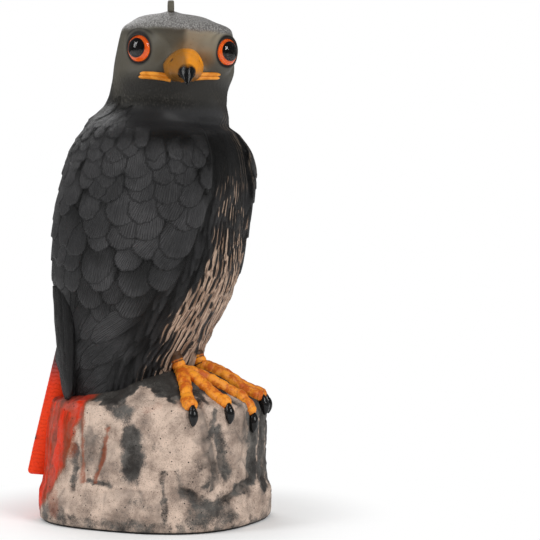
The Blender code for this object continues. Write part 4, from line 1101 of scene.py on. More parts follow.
# From the roof of the hollow down its wall, out through the hole, and over the rim
underside = [
    round_ring(3, 88),
    round_ring(44, 84),
    round_ring(58, 66),
    round_ring(60, 24),
    round_ring(HOLE_RADIUS + 1, 20.5),
    round_ring(HOLE_RADIUS, 19),
    round_ring(HOLE_RADIUS, SEAT_LEVEL),
    round_ring(FLANGE_SEAT, SEAT_LEVEL),
    round_ring(FLANGE_SEAT, FOOT_RECESS),
    oblong_ring(58, 51, FOOT_RECESS),
    oblong_ring(64, 57, 0.0),
    oblong_ring(85, 78, 0.0),
]
full_rock = np.concatenate([np.array(underside), carved_rock])
below = len(underside)
print("rock rings:", len(full_rock))

# %% [markdown]
# ### Stone paint
# Pale tan was sprayed over dark plastic, and the sprayer then fogged dark grey over it in
# clouds. The hollows are darker still as painted shade, and the stone gets darker towards the
# foot, down to a black line that is a painted contact shadow. Orange from the tail drifted
# over the back of the rock.
# Noise alone would put the dark anywhere. So the larger clouds are strokes placed by angle
# and height, as the grooves are, and fine specks break their edges.

# %% Airbrush strokes on the rock
# half-width in mm and strength, then the stroke as (degrees, height) points
DARK_STROKES = (
    (9, 1.0, ((92, 99), (84, 91), (80, 88))),
    (6, 0.85, ((81, 88), (77, 76))),
    (12, 1.4, ((75, 72), (73, 58), (74, 46))),
    (5, 1.2, ((31, 116), (32, 99))),
    (5, 1.2, ((10, 116), (11, 97))),
    (7, 0.9, ((145, 102), (130, 95), (118, 90))),
    (4, 0.9, ((117, 84), (117, 70))),
    (12, 0.8, ((152, 7), (120, 6))),
    (5, 0.95, ((112, 60), (112, 32))),
    (4, 0.8, ((118, 88), (116, 70))),
    (7, 0.7, ((131, 42), (130, 26))),
    (8, 0.45, ((98, 76), (99, 50))),
    (3.5, 1.0, ((103, 36), (88, 36))),
    (3.5, 0.85, ((57, 46), (56, 24), (56, 2))),
    (3, 0.65, ((50, 46), (45, 34))),
    (6, 0.65, ((38, 52), (37, 49))),
    (8, 1.0, ((28, 74), (25, 58), (23, 44))),
    (3, 0.9, ((31, 90), (33, 70))),
    (3, 0.95, ((30, 48), (30, 32))),
    (5, 0.8, ((33, 42), (34, 34))),
    (7, 1.0, ((46, 31), (38, 23), (31, 19), (22, 25), (8, 31))),
    (12, 0.85, ((42, 12), (28, 12), (20, 16))),
    (5, 0.7, ((8, 18), (3, 9))),
    (8, 1.5, ((0, 99), (-2, 64), (-1, 36))),
    (11, 1.5, ((-12, 98), (-13, 60), (-12, 30))),
    (7, 0.8, ((120, 5), (90, 4), (60, 6), (48, 3))),
    (6, 0.5, ((72, 24), (60, 18))),
    (5, 0.5, ((86, 60), (84, 50))),
    (24, 1.3, ((-34, 98), (-34, 66), (-30, 42))),
    (12, 0.75, ((-40, 24), (-24, 12))),
    (9, 0.8, ((-34, 80), (-36, 50), (-30, 18))),
    (12, 0.7, ((-62, 88), (-60, 46))),
    (10, 0.8, ((-88, 84), (-86, 46))),
    (9, 0.6, ((-102, 44), (-96, 18))),
    (11, 0.8, ((-120, 92), (-116, 56))),
    (7, 0.55, ((-128, 36), (-124, 16))),
    (7, 0.6, ((134, 88), (131, 62))),
    (5, 0.5, ((62, 72), (60, 66))),
)
PALE_STROKES = (
    (7, 1.0, ((17, 21), (8, 14), (0, 14))),
    (1.8, 0.9, ((52, 2), (52, 48))),
    (1.1, 0.8, ((-9, 80), (-5, 44))),
    (1.2, 0.5, ((-24, 84), (-22, 50))),
)
RUST_STROKES = (
    (3.4, 0.9, ((111, 94), (107, 66), (106, 36))),
    (2.8, 0.95, ((91, 78), (92, 60), (97, 37))),
    (10, 0.9, ((120, 84), (116, 60))),
    (5, 0.5, ((68, 92), (60, 96))),
    (9, 0.7, ((128, 30), (124, 12))),
    (9, 0.7, ((-130, 84), (-132, 50), (-130, 20))),
)


def sprayed(strokes):
    """How thickly the strokes cover each point of the rock, with grainy edges."""
    cover = np.zeros_like(rock_height)
    for half_width, strength, path in strokes:
        away, _ = from_stroke(path, 3.0)
        cover = np.maximum(cover, strength * ease(1.3 - (away + 1.4 * small) / half_width))
    return cover


# %% Where each coat of the rock lies
DARKEST = 1.7
# The dark coat of the bird runs on over the rock's top, down to a wavy edge.
EDGE_DEGREES = (-180, -130, -100, -60, -20, 10, 30, 40, 50, 60, 68, 76, 82, 90, 112, 130, 180)
EDGE_LEVELS = (92, 92, 95, 97, 97, 97, 98, 97, 96, 98, 102, 105, 97, 94, 93, 92, 92)
turned = np.degrees(wrapped(rock_angle))
top_edge = np.interp(turned, EDGE_DEGREES, EDGE_LEVELS)
dark = sprayed(DARK_STROKES)
# Darker towards the foot of the rock.
dark = np.maximum(dark, 0.8 * ease((7.5 - rock_height + 8 * medium + 4 * coarse) / 7))
# On the bird's left of one slab's edge the stone was left nearly all dark.
shaded = ease((1 + (rock_height - 30) * 0.08 - turned + small) / 2.4)
shaded = shaded * ease((turned + 62 + 10 * medium) / 14)
shaded = shaded * ease((rock_height - 36 + 8 * medium + 4 * small) / 8)
dark = np.maximum(dark, 1.15 * shaded)
dark = dark - sprayed(PALE_STROKES)
dark = np.maximum(dark, DARKEST * ease((rock_height - top_edge + 5 * medium + 2 * small) / 6))
rust = sprayed(RUST_STROKES)
right_limit = np.interp(rock_height, (0, 18, 30, 50, 70, 95), (139, 127, 121, 113, 108, 104))
orange = np.maximum(ease((turned - right_limit) / 11), ease((-turned - 133) / 10))
orange = np.clip(orange + 0.5 * medium * orange * (1 - orange) * 4, 0, 1)
orange = orange * falls(rock_height, 108, 12)
stone_map = np.stack([np.clip(dark, 0, DARKEST), rust, orange], axis=-1)
bare = np.tile((1.0, 0.0, 0.0), (below, ROCK_COLUMNS, 1))
stone_map = np.concatenate([bare, stone_map])
stone_relief = np.concatenate([np.zeros((below, ROCK_COLUMNS)), rock_relief])
print("dark paint covers", round(float((dark > 0.5).mean()), 2), "of the rock")

# %% Freckled tan stone
stone_paint, tree, shader = new_material("Sprayed stone paint", specular=0.14)
spot = object_space(tree)
surface = use_group(tree, moulded, {"Position": spot, "Grain": 300.0, "Pits": 190.0})
dark_at, rust_at, orange_at = axes_of(tree, stored(tree, "stone_map", "Vector"))
relief_at = stored(tree, "stone_relief")
shade = spread(tree, grain(tree, spot, 48.0, detail=6.0, roughness=0.65), 0.36, 0.66)
tan = mixed(tree, shade, srgb(212, 189, 172), srgb(150, 131, 118))
freckle = grain(tree, spot, 1000.0, detail=3.0, roughness=0.8)
off_middle = calc(tree, "SUBTRACT", freckle, 0.5)
tan = mixed(tree, spread(tree, freckle, 0.52, 0.72), tan, srgb(104, 88, 78))

# %% Dark fog under the strokes, and painted shade in the hollows
cloud = {"Position": spot, "Scale": 46.0, "Cover": 0.46, "Softness": 0.14}
speckle = calc(tree, "MULTIPLY_ADD", off_middle, 3.2, 0.5)
fog_and_shade = calc(tree, "MULTIPLY", use_group(tree, airbrush, cloud)["Mask"], 0.6)
fog_and_shade = calc(tree, "MULTIPLY", fog_and_shade, speckle)
# Painted shade: darker where the carved relief is low, in the grooves and hollows.
hollow = spread(tree, calc(tree, "MULTIPLY_ADD", off_middle, 2.5, relief_at), -0.4, -3.0)
fog_and_shade = calc(tree, "MAXIMUM", fog_and_shade, calc(tree, "MULTIPLY", hollow, 0.8))
blotch = calc(tree, "SUBTRACT", grain(tree, spot, 90.0, detail=6.0, roughness=0.7), 0.5)
torn = calc(tree, "MULTIPLY_ADD", off_middle, 1.0, calc(tree, "MULTIPLY_ADD", blotch, 2.3, dark_at))
fog_and_shade = calc(tree, "MAXIMUM", fog_and_shade, spread(tree, torn, 0.12, 1.12, 0.0, 0.95))
cloudy = spread(tree, grain(tree, spot, 70.0, detail=5.0), 0.3, 0.7)
slate = mixed(tree, cloudy, srgb(30, 30, 31), srgb(92, 91, 88))
coat = mixed(tree, fog_and_shade, tan, slate)
coat = mixed(tree, spread(tree, torn, 1.1, 1.8, 0.0, 0.8), coat, srgb(42, 40, 38))

# %% Rust, orange overspray and specks
rusty = calc(tree, "MULTIPLY_ADD", off_middle, 1.1, rust_at)
coat = mixed(tree, spread(tree, rusty, 0.25, 1.3, 0.0, 0.85), coat, srgb(150, 72, 36))
drift = calc(tree, "MULTIPLY_ADD", blotch, 0.9, calc(tree, "MULTIPLY_ADD", off_middle, 0.8, orange_at))
runs = grain(tree, stretched(tree, spot, (1.0, 1.0, 0.22)), 80.0, detail=4.0)
reds = mixed(tree, spread(tree, runs, 0.38, 0.68), srgb(216, 44, 4), srgb(128, 46, 14))
red = mixed(tree, spread(tree, orange_at, 0.35, 0.9), srgb(118, 66, 34), reds)
over_dark = calc(tree, "MULTIPLY_ADD", fog_and_shade, -0.5, 1.0)
coat = mixed(tree, calc(tree, "MULTIPLY", spread(tree, drift, 0.1, 0.75), over_dark), coat, red)
specks = put(tree, "ShaderNodeTexVoronoi", {"Vector": spot, "Scale": 150.0}).outputs["Distance"]
coat = mixed(tree, spread(tree, specks, 0.11, 0.06), coat, srgb(30, 28, 27))
_, _, up_at = axes_of(tree, spot)
# Painted contact shadow: a black line along the very foot of the rock.
contact_shadow_line = spread(tree, up_at, 0.0016, 0.0007)
coat = mixed(tree, contact_shadow_line, coat, srgb(12, 12, 12))
gloss = calc(tree, "MULTIPLY_ADD", surface["Height"], 0.3, 0.42)
finish(tree, shader, coat, gloss, surface["Height"], 0.8, 0.0008)
print(stone_paint.name, "has", len(tree.nodes), "nodes")

# %% Rock
rock = solid("rock", full_rock, stone_paint)
keep_values(rock, stone_map=stone_map, stone_relief=stone_relief)
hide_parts("shell")

# %% [markdown]
# ## The tail
# Five long feathers lie side by side in a shallow fan, with a groove between each two.
# The barbs run down and outwards from the middle like a herringbone. A plain sheet with a
# bump would lose the grooves at its edge, so the fan is a grid with real grooves and
# ripples. Its front and back are one ring at each height.

# %% Tail sections
TAIL_TOP, TAIL_BOTTOM = 160.0, 33.5
TAIL_SIDE = 3.2
TAIL_HALF_BOTTOM, TAIL_HALF_TOP = 52.5, 35
CORNER = 4.0
TAIL_BOW = 15
BARB_PITCH = 3.1
DECIMETRE = 100
FEATHER_EDGES = np.array((-1.0, -0.77, -0.39, 0.39, 0.77, 1.0))


def joined(x, y, z):
    """Points or values in one array of vectors, from arrays that fill each other out."""
    return np.stack(np.broadcast_arrays(x, y, z), axis=-1)


def tail_grid():
    """Rings down the tail, and the share across, height and way to a groove of each point."""
    corner = TAIL_BOTTOM + CORNER * (1 - np.cos(np.linspace(0, math.pi / 2, 10)))
    heights = np.concatenate([corner, np.linspace(TAIL_BOTTOM + 4.6, TAIL_TOP, 150)])
    levels = heights[:, None]
    u = ((heights - TAIL_BOTTOM) / (TAIL_TOP - TAIL_BOTTOM))[:, None]
    half = TAIL_HALF_BOTTOM + (TAIL_HALF_TOP - TAIL_HALF_BOTTOM) * u
    rounding = 1 - np.minimum((heights - TAIL_BOTTOM) / CORNER, 1.0)[:, None]
    half = half - CORNER * (1 - np.sqrt(1 - rounding**2))
    back = 90 - 26 * u - 5 * rises(u, 0.85, 0.15)
    share = np.linspace(-0.985, 0.985, 240)[None, :]
    slot_at = np.clip(np.searchsorted(FEATHER_EDGES, share, side="right") - 1, 0, 4)
    left, right = FEATHER_EDGES[slot_at], FEATHER_EDGES[slot_at + 1]
    within = (share - left) / (right - left)
    to_groove = np.minimum(share - left, right - share) * half
    bow = TAIL_BOW * (1 - share**2) + np.sin(math.pi * within) * np.minimum(1, 4 * u + 0.3)
    bow = bow - 1.3 * hump(to_groove, 0.9)
    ridge = 0.7 * hump(share * half, 1.6) * (1 - rises(u, 0.7, 0.2))
    # The herringbone is cut into the surface as well as painted.
    herring = np.sin((levels + np.abs(share) * half * 0.75) * 2 * math.pi / BARB_PITCH)
    bow = bow + ridge + 0.12 * herring * (1 - hump(to_groove, 1.5))
    soft = 1.6 * rounding**2
    front = joined(TAIL_SIDE - share * half, back + bow - soft, levels)
    inner_share = np.linspace(1.0, -1.0, 30)[None, :]
    inner_bow = 4.5 * (1 - inner_share**2) - 17
    inner = joined(TAIL_SIDE - inner_share * half * 0.98, back + inner_bow, levels)
    fan = joined(share, levels / DECIMETRE, to_groove / 10)
    inner_fan = joined(inner_share, levels / DECIMETRE, 1.0)
    return np.concatenate([front, inner], axis=1), np.concatenate([fan, inner_fan], axis=1)


tail_rings, fan_map = tail_grid()
print("the tail has", tail_rings.shape[0], "rings of", tail_rings.shape[1], "points")

# %% [markdown]
# ### Tail paint
# The tail was sprayed red-orange over the barbs and faded to grey at its root. Four black
# dashes and one wavy bar were brushed on by hand. They could be separate strips, but paint
# has no thickness. So each is a mask from the share across the tail and the height, and
# its edge takes the wave of the barbs, as a brush's edge does.

# %% Barbs, reds and the grey root
tail_paint, tree, shader = new_material("Red-orange tail paint", specular=0.16)
spot = object_space(tree)
share_at, height_at, groove_at = axes_of(tree, stored(tree, "fan", "Vector"))
from_middle = calc(tree, "ABSOLUTE", share_at)
surface = use_group(tree, moulded, {"Position": spot, "Grain": 420.0, "Pits": 300.0})
jitter = calc(tree, "MULTIPLY", grain(tree, spot, 190.0, detail=3.0), 0.05)
barb_phase = calc(tree, "ADD", calc(tree, "MULTIPLY_ADD", from_middle, 0.33, height_at), jitter)
barb_turns = 2 * math.pi * DECIMETRE / BARB_PITCH
barb_wave = calc(tree, "SINE", calc(tree, "MULTIPLY", barb_phase, barb_turns))
patchy = spread(tree, grain(tree, spot, 120.0, detail=3.0), 0.35, 0.6)
scratch = calc(tree, "MULTIPLY", spread(tree, barb_wave, 0.55, 0.98), patchy)
reds = mixed(tree, grain(tree, spot, 30.0, detail=3.0), srgb(222, 40, 5), srgb(240, 68, 14))
deep = calc(tree, "MULTIPLY", scratch, spread(tree, from_middle, 0.98, 0.8, 0.06, 0.24))
reds = mixed(tree, deep, reds, srgb(120, 36, 20))
seam = spread(tree, groove_at, 0.09, 0.02)
reds = mixed(tree, calc(tree, "MULTIPLY", seam, 0.85), reds, srgb(70, 24, 18))
cloudy = grain(tree, spot, 60.0, detail=4.0)
faded = calc(tree, "MULTIPLY_ADD", calc(tree, "SUBTRACT", cloudy, 0.5), 0.16, height_at)
edge_fade = calc(tree, "MULTIPLY_ADD", spread(tree, from_middle, 0.55, 1.0), 0.2, faded)
grey = mixed(tree, spread(tree, barb_wave, -0.2, 0.9), srgb(70, 72, 76), srgb(38, 38, 40))
coat = mixed(tree, spread(tree, edge_fade, 1.22, 1.5), reds, grey)

# %% Black bar and dashes
# The levels are in decimetres. For each dash: its middle as a share across, and its slant
DASHES = ((-0.63, -0.06), (-0.2, -0.09), (0.18, -0.02), (0.6, 0.06))
BAR_LEVEL, DASH_TOP, DASH_LEVEL = 0.645, 0.97, 0.995
wavy = calc(tree, "MULTIPLY", calc(tree, "SUBTRACT", grain(tree, spot, 75.0, detail=2.0), 0.5), 0.1)
tooth = calc(tree, "MULTIPLY", barb_wave, 0.006)
bar_line = calc(tree, "ADD", calc(tree, "ADD", height_at, wavy), tooth)
bar = spread(tree, calc(tree, "ABSOLUTE", calc(tree, "SUBTRACT", bar_line, BAR_LEVEL)), 0.02, 0.012)
ink = calc(tree, "MULTIPLY", bar, spread(tree, from_middle, 0.992, 0.972))
for middle_share, slant in DASHES:
    below_top = calc(tree, "SUBTRACT", DASH_TOP, height_at)
    leaned = calc(tree, "MULTIPLY_ADD", below_top, slant, middle_share)
    aside = calc(tree, "ABSOLUTE", calc(tree, "SUBTRACT", share_at, leaned))
    aside = calc(tree, "SUBTRACT", aside, calc(tree, "MULTIPLY", barb_wave, 0.012))
    dash = spread(tree, aside, 0.052, 0.034)
    ragged_height = calc(tree, "ADD", height_at, jitter)
    upright = calc(tree, "ABSOLUTE", calc(tree, "SUBTRACT", ragged_height, DASH_LEVEL))
    dash = calc(tree, "MULTIPLY", dash, spread(tree, upright, 0.23, 0.2))
    ink = calc(tree, "MAXIMUM", ink, dash)
coat = mixed(tree, calc(tree, "MULTIPLY", ink, 0.96), coat, srgb(16, 14, 14))
gloss = calc(tree, "MULTIPLY_ADD", surface["Height"], 0.25, 0.33)
total = calc(tree, "MULTIPLY_ADD", surface["Height"], 0.3, calc(tree, "MULTIPLY", scratch, -1.0))
finish(tree, shader, coat, gloss, total, 0.7, 0.0007)

# %% Tail
tail = solid("tail_fan", tail_rings, tail_paint)
keep_values(tail, fan=fan_map)
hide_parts("shell")

# %% [markdown]
# ## Feet
# Each foot has three toes over the front of the rock. A hawk's toe is a stack of horny
# rings, and it ends in a black claw that hooks down over the rim. A curve with a round
# bevel could be the toe, but its radius would need a point for each ring. So a tube is
# swept along the toe's path, and a formula swells and narrows it between grooves.

# %% Tubes
def tube_rings(path, radii, sides):
    """Rings round a path. Each keeps the last one's heading, so the sides never twist."""
    path = np.asarray(path, float)
    ahead = np.gradient(path, axis=0)
    ahead /= np.linalg.norm(ahead, axis=1, keepdims=True)
    across = np.cross(ahead[0], UP if abs(ahead[0][2]) < 0.9 else (1.0, 0.0, 0.0))
    turn = circle(sides)[:, None]
    rings = []
    for point, along, radius in zip(path, ahead, radii):
        across = across - along * (across @ along)
        across /= np.linalg.norm(across)
        up = np.cross(along, across)
        rings.append(point + radius * (np.cos(turn) * across + np.sin(turn) * up))
    return np.array(rings)


def smooth_path(points, count):
    """A denser path through the points, evenly spaced."""
    points = np.asarray(points, float)
    lengths = np.concatenate([[0], np.cumsum(np.linalg.norm(np.diff(points, axis=0), axis=1))])
    at = np.linspace(0, lengths[-1], count)
    return np.stack([smooth_curve(lengths, points[:, k], at) for k in range(3)], axis=-1)


# %% [markdown]
# ### Foot and claw paint
# The feet were sprayed orange, and brown is painted into the grooves and under the toes as
# painted shade. The claws were dipped in gloss black. The lips of the beak have the same horny
# finish in other colours, so one function makes both materials.

# %% Foot and claw materials
def horn_material(name, base, shade, light, roughness):
    """Sprayed horn: a base colour with paler patches, brown freckles, and painted shade from its stored
    mask.
    """
    material, tree, shader = new_material(name)
    spot = object_space(tree)
    # The stored groove mask is painted shade: in the grooves, under the toes and on the tops of the legs.
    groove = stored(tree, "groove")
    surface = use_group(tree, moulded, {"Position": spot, "Grain": 500.0, "Pits": 340.0})
    cloud = use_group(tree, airbrush, {"Position": spot, "Scale": 130.0, "Cover": 0.5, "Softness": 0.12})
    coat = mixed(tree, cloud["Mask"], base, light)
    freckle = grain(tree, spot, 500.0, detail=3.0)
    blotch_and_shade = calc(tree, "MULTIPLY_ADD", calc(tree, "SUBTRACT", freckle, 0.5), 0.9, groove)
    coat = mixed(tree, spread(tree, blotch_and_shade, 0.3, 1.0), coat, shade)
    gloss = calc(tree, "MULTIPLY_ADD", surface["Height"], 0.2, roughness)
    finish(tree, shader, coat, gloss, surface["Height"], 0.6, 0.0005)
    return material


foot_paint = horn_material(
    "Orange foot paint", srgb(194, 92, 20), srgb(74, 48, 28), srgb(240, 152, 42), 0.34
)

claw_paint, tree, shader = new_material("Gloss black claw paint")
spot = object_space(tree)
streaks = grain(tree, stretched(tree, spot, (1.0, 1.0, 0.2)), 600.0, detail=3.0)
black = mixed(tree, streaks, srgb(10, 10, 11), srgb(30, 29, 29))
gloss = calc(tree, "MULTIPLY_ADD", streaks, 0.14, 0.1)
finish(tree, shader, black, gloss, streaks, 0.25, 0.0003)

# %% Paths and rings of the toes
# angles and lowest heights of the three toes of each foot
TOES = {1: (0, 21.5, 42.5), -1: (-16, -33, -52)}
TOE_ENDS = {1: (85, 94.5, 94.5), -1: (96, 94.5, 94.5)}
TOE_RADIUS = 6.4
TOE_STATIONS, TOE_RADII = (0, 0.25, 0.6, 0.9, 1), (6.0, 5.3, 4.9, 5.8, 5.3)
RINGS_PER_TOE, RINGS_PER_LEG = 8, 4
TOE_RINGS, CLAW_RINGS, LEG_RINGS = 96, 40, 60
CLAW_RADIUS, CLAW_LENGTH, CLAW_START = 3.6, 16, 2.0
LEG_RADIUS, LEG_HEIGHT, LEG_SIDES = 5.6, 15, 36
RIM_HEIGHT, BELOW_RIM = 98.0, 92.0


def foot_centre(side):
    return np.array((-side * 17.0, -33.0, 0.0))


def toe_path(side, degrees, low_end):
    """From the foot over the rock's rim, and down its front to the toe's low end."""
    rim = rock_points(np.array(RIM_HEIGHT), np.array(math.radians(degrees)))
    path = []
    for u in np.linspace(0, 1, 11):
        plan = foot_centre(side) * (1 - u) + rim * u
        lift = TOE_RADIUS * (0.2 - 0.1 * u * u)
        path.append((plan[0], plan[1], rock_top(plan[0], plan[1]) + lift))
    end = rock_points(np.array(min(low_end, BELOW_RIM)), np.array(math.radians(degrees)), -1.2)
    path.append((end[0], end[1], low_end))
    return path


def scutes(count, total, depth):
    """Radius factors and groove depths for a row of rounded rings."""
    u = np.linspace(0, 1, total)
    swell = np.abs(np.sin(math.pi * (count * u + 0.5))) ** 0.8
    return 1 - depth * (1 - swell), 1 - swell


# %% Legs, toes and claws
for side, word in SIDES:
    for number, (degrees, low_end) in enumerate(zip(TOES[side], TOE_ENDS[side]), start=1):
        bones = toe_path(side, degrees, low_end)
        path = smooth_path(bones, TOE_RINGS)
        u = np.linspace(0, 1, TOE_RINGS)
        swell, groove = scutes(RINGS_PER_TOE, TOE_RINGS, 0.09)
        thickness = smooth_curve(TOE_STATIONS, TOE_RADII, u)
        blunt = np.sqrt(np.clip((1.02 - u) / 0.07, 0.1, 1))
        rings = tube_rings(path, thickness * swell * blunt, 40)
        rings = rings + outward(rings) * (0.55 * lumps(rings, 7, 3))[..., None]
        toe = solid(f"toe_{word}_{number}", rings, foot_paint)
        # Painted shade under each toe, where it lies on the rock.
        low_side = ease((path[:, None, 2] - 1.0 - rings[..., 2]) / 3.5)
        keep_values(toe, groove=np.maximum(0.55 * groove[:, None], 1.5 * low_side))
        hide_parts("shell")

        # The claw starts inside the toe and follows the rock's face down.
        u = np.linspace(0, 1, CLAW_RINGS)
        heights = bones[-1][2] + CLAW_START - CLAW_LENGTH * u
        proud = 1.3 + 0.6 * np.sin(math.pi * u)
        bearing = np.full(CLAW_RINGS, math.radians(degrees))
        points = rock_points(np.minimum(heights, BELOW_RIM), bearing, -proud)
        points[:, 2] = heights
        radii = CLAW_RADIUS * (0.1 + 0.95 * np.sin(math.pi * (0.05 + 0.92 * u)) ** 0.8)
        claw = solid(f"claw_{word}_{number}", tube_rings(points, radii, 28), claw_paint)
        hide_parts("shell")
    foot = foot_centre(side)
    ground = rock_top(foot[0], foot[1])
    shares = (-0.25, 0.2, 0.6, 1.0)
    path = [foot + UP * (ground + LEG_HEIGHT * s) + (0.0, 7 * s, 0.0) for s in shares]
    path = smooth_path(path, LEG_RINGS)
    swell, groove = scutes(RINGS_PER_LEG, LEG_RINGS, 0.12)
    leg = solid("leg_" + word, tube_rings(path, LEG_RADIUS * swell, LEG_SIDES), foot_paint)
    # Painted shade under the belly: the top of each leg is darker.
    shaded_under_belly = 1.6 * rises(np.linspace(0, 1, LEG_RINGS), 0.55, 0.3)
    keep_values(leg, groove=np.maximum(groove, shaded_under_belly)[:, None] * np.ones((1, LEG_SIDES)))
    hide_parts("shell")

# %% [markdown]
# ## Beak, mouth line and hanging eye
# The beak starts as a broad fleshy cere and narrows to a hook that was dipped in gloss
# black. A subdivided cage could be pulled into that shape, but the beak is drawn as the
# body is: top, bottom and width along its length, with a boxier section. Two thin lips
# run back from it along each cheek. The hanging eye is a tab with a hole, made as a ring
# that is stretched down into the crown.

# %% Beak shape
BEAK_REACH, BEAK_DROP, BEAK_HEIGHT, BEAK_HALF_WIDTH = 47.9, 29.0, 31.0, 15.0
BEAK_RINGS, BEAK_SIDES = 90, 56
LEAST_HALF = 0.15
NOSTRIL_AT, NOSTRIL_DEPTH = 0.42, 2.2
CERE_END, CERE_SWELL = 0.47, 0.35
# ahead, top and bottom as shares of the height, half-width as a share
BEAK_PROFILE = np.array(
    (
        (-0.03, 0.97, 0.16, 1.0),
        (0.2, 0.94, 0.16, 0.98),
        (0.42, 0.87, 0.16, 0.84),
        (0.65, 0.75, 0.16, 0.62),
        (0.81, 0.62, 0.15, 0.45),
        (0.92, 0.46, 0.09, 0.3),
        (0.97, 0.3, 0.02, 0.17),
        (0.99, 0.14, -0.02, 0.1),
        (1.0, 0.03, -0.03, 0.035),
    )
)
stations = np.arange(float(len(BEAK_PROFILE)))
station_at = smooth_curve(stations / stations[-1], stations, np.linspace(0, 1, BEAK_RINGS))
ahead_at, top_at, bottom_at, half_at = (
    smooth_curve(stations, BEAK_PROFILE[:, k], station_at) for k in range(4)
)
turn = circle(BEAK_SIDES)
middle_rise = BEAK_HEIGHT * (top_at + bottom_at) / 2 - BEAK_DROP
tall = BEAK_HEIGHT * (top_at - bottom_at) / 2 + LEAST_HALF
level_share = np.sign(np.cos(turn)) * np.abs(np.cos(turn)) ** 0.65
upright_share = np.sign(np.sin(turn)) * np.abs(np.sin(turn)) ** 0.85
narrowing = 1 - 0.36 * np.clip(np.sin(turn), 0, 1)
# The ridge leans a little towards the bird's left at the root.
lean = -2.4 * np.clip(np.sin(turn), 0, 1) * (1 - ahead_at)[:, None]
wide = (BEAK_HALF_WIDTH * half_at + LEAST_HALF)[:, None] * level_share * narrowing + lean
rise_at = middle_rise[:, None] + tall[:, None] * upright_share
# The cere is a little swollen and stops in a step, with a nostril on each side.
cere = CERE_SWELL * (1 - rises(ahead_at, CERE_END, 0.05))[:, None] * np.ones(BEAK_SIDES)
nostril_rise = (middle_rise + 0.35 * tall)[:, None]
nostril = hump((ahead_at[:, None] - NOSTRIL_AT) * BEAK_REACH, 2.6)
nostril = nostril * hump(rise_at - nostril_rise, 1.6) * (np.abs(np.cos(turn)) > 0.4)
beak_rings = (
    FACE
    + FORWARD * (BEAK_REACH * ahead_at)[:, None, None]
    + FACE_RIGHT * wide[..., None]
    + FACE_UP * rise_at[..., None]
)
beak_rings = beak_rings + outward(beak_rings) * (cere - NOSTRIL_DEPTH * nostril)[..., None]
print("the beak reaches", round(float(((beak_rings - FACE) @ FORWARD).max()), 1), "mm ahead")

# %% Beak paint
beak_paint, tree, shader = new_material("Ochre beak paint with a black tip")
spot = object_space(tree)
along_at, hole_at, under_at = axes_of(tree, stored(tree, "beak", "Vector"))
surface = use_group(tree, moulded, {"Position": spot, "Grain": 500.0, "Pits": 300.0})
cloud = use_group(tree, airbrush, {"Position": spot, "Scale": 90.0, "Cover": 0.5, "Softness": 0.2})
coat = mixed(tree, cloud["Mask"], srgb(232, 146, 26), srgb(206, 126, 26))
# Painted shade: the side of the beak turned from the key lamp, and its underside, are painted darker.
in_shade = spread(tree, stored(tree, "beak_side"), -0.15, 0.4)
coat = mixed(tree, calc(tree, "MULTIPLY", in_shade, 0.85), coat, srgb(134, 90, 32))
shade_underneath = spread(tree, under_at, 0.1, -0.8)
coat = mixed(tree, calc(tree, "MULTIPLY", shade_underneath, 0.75), coat, srgb(96, 64, 26))
off_middle = calc(tree, "SUBTRACT", grain(tree, spot, 320.0, detail=3.0), 0.5)
rough_edge = calc(tree, "MULTIPLY", off_middle, 0.05)
slanting = calc(tree, "MULTIPLY_ADD", under_at, -0.085, calc(tree, "ADD", along_at, rough_edge))
dipped = spread(tree, slanting, 0.8, 0.87)
coat = mixed(tree, spread(tree, hole_at, 0.25, 0.8), coat, srgb(40, 26, 16))
coat = mixed(tree, dipped, coat, srgb(12, 12, 13))
gloss = spread(tree, dipped, 0.0, 1.0, 0.36, 0.14)
finish(tree, shader, coat, gloss, surface["Height"], 0.5, 0.0004)

# %% Beak
beak = solid("beak", beak_rings, beak_paint)
beak_map = joined(ahead_at[:, None], nostril, np.sin(turn)[None, :])
keep_values(beak, beak=beak_map, beak_side=np.cos(turn)[None, :] * np.ones((BEAK_RINGS, 1)))
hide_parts("shell")

# %% Lips of the mouth line
LIP_RINGS, LIP_SIDES = 50, 20
LIP_DROP, LIP_SINK = 19.4, 2.4
LIP_START = 5
lip_paint = horn_material("Ochre lip paint", srgb(204, 122, 26), srgb(70, 46, 28), srgb(228, 150, 50), 0.3)
for side, word, last in ((1, "right", 37.5), (-1, "left", 46)):
    for lift, name in ((1.25, "upper"), (-1.25, "lower")):
        turn_at = HEAD_TURN + side * np.radians(np.linspace(LIP_START, last, LIP_RINGS))
        along_lip = np.linspace(0, 1, LIP_RINGS)
        level_at = FACE[2] - LIP_DROP + lift - LIP_SINK * (1 - along_lip) ** 2
        path = skin_points(level_at, turn_at, 0.1)
        radii = (1.85 - 0.35 * along_lip) * np.sqrt(np.clip((1.02 - along_lip) / 0.1, 0.05, 1))
        lip = solid(f"lip_{name}_{word}", tube_rings(path, radii, LIP_SIDES), lip_paint)
        keep_values(lip, groove=np.full((LIP_RINGS, LIP_SIDES), 0.25))
        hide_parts("shell")

# %% Hanging eye
TAB_HALF, TAB_THICKNESS, TAB_HOLE = 5.5, 4.6, 2.3
TAB_TOP, TAB_BURIED, TAB_FLATTENED = 5.8, 6.6, 0.6
TAB_SIDES, TAB_STEPS = 24, 64
foot = tab_foot * (1, 1, 0)
hole_height = CROWN + TAB_TOP - TAB_HALF + TAB_FLATTENED
turn = circle(TAB_STEPS)
direction = np.cos(turn)[:, None] * FORWARD + np.sin(turn)[:, None] * UP
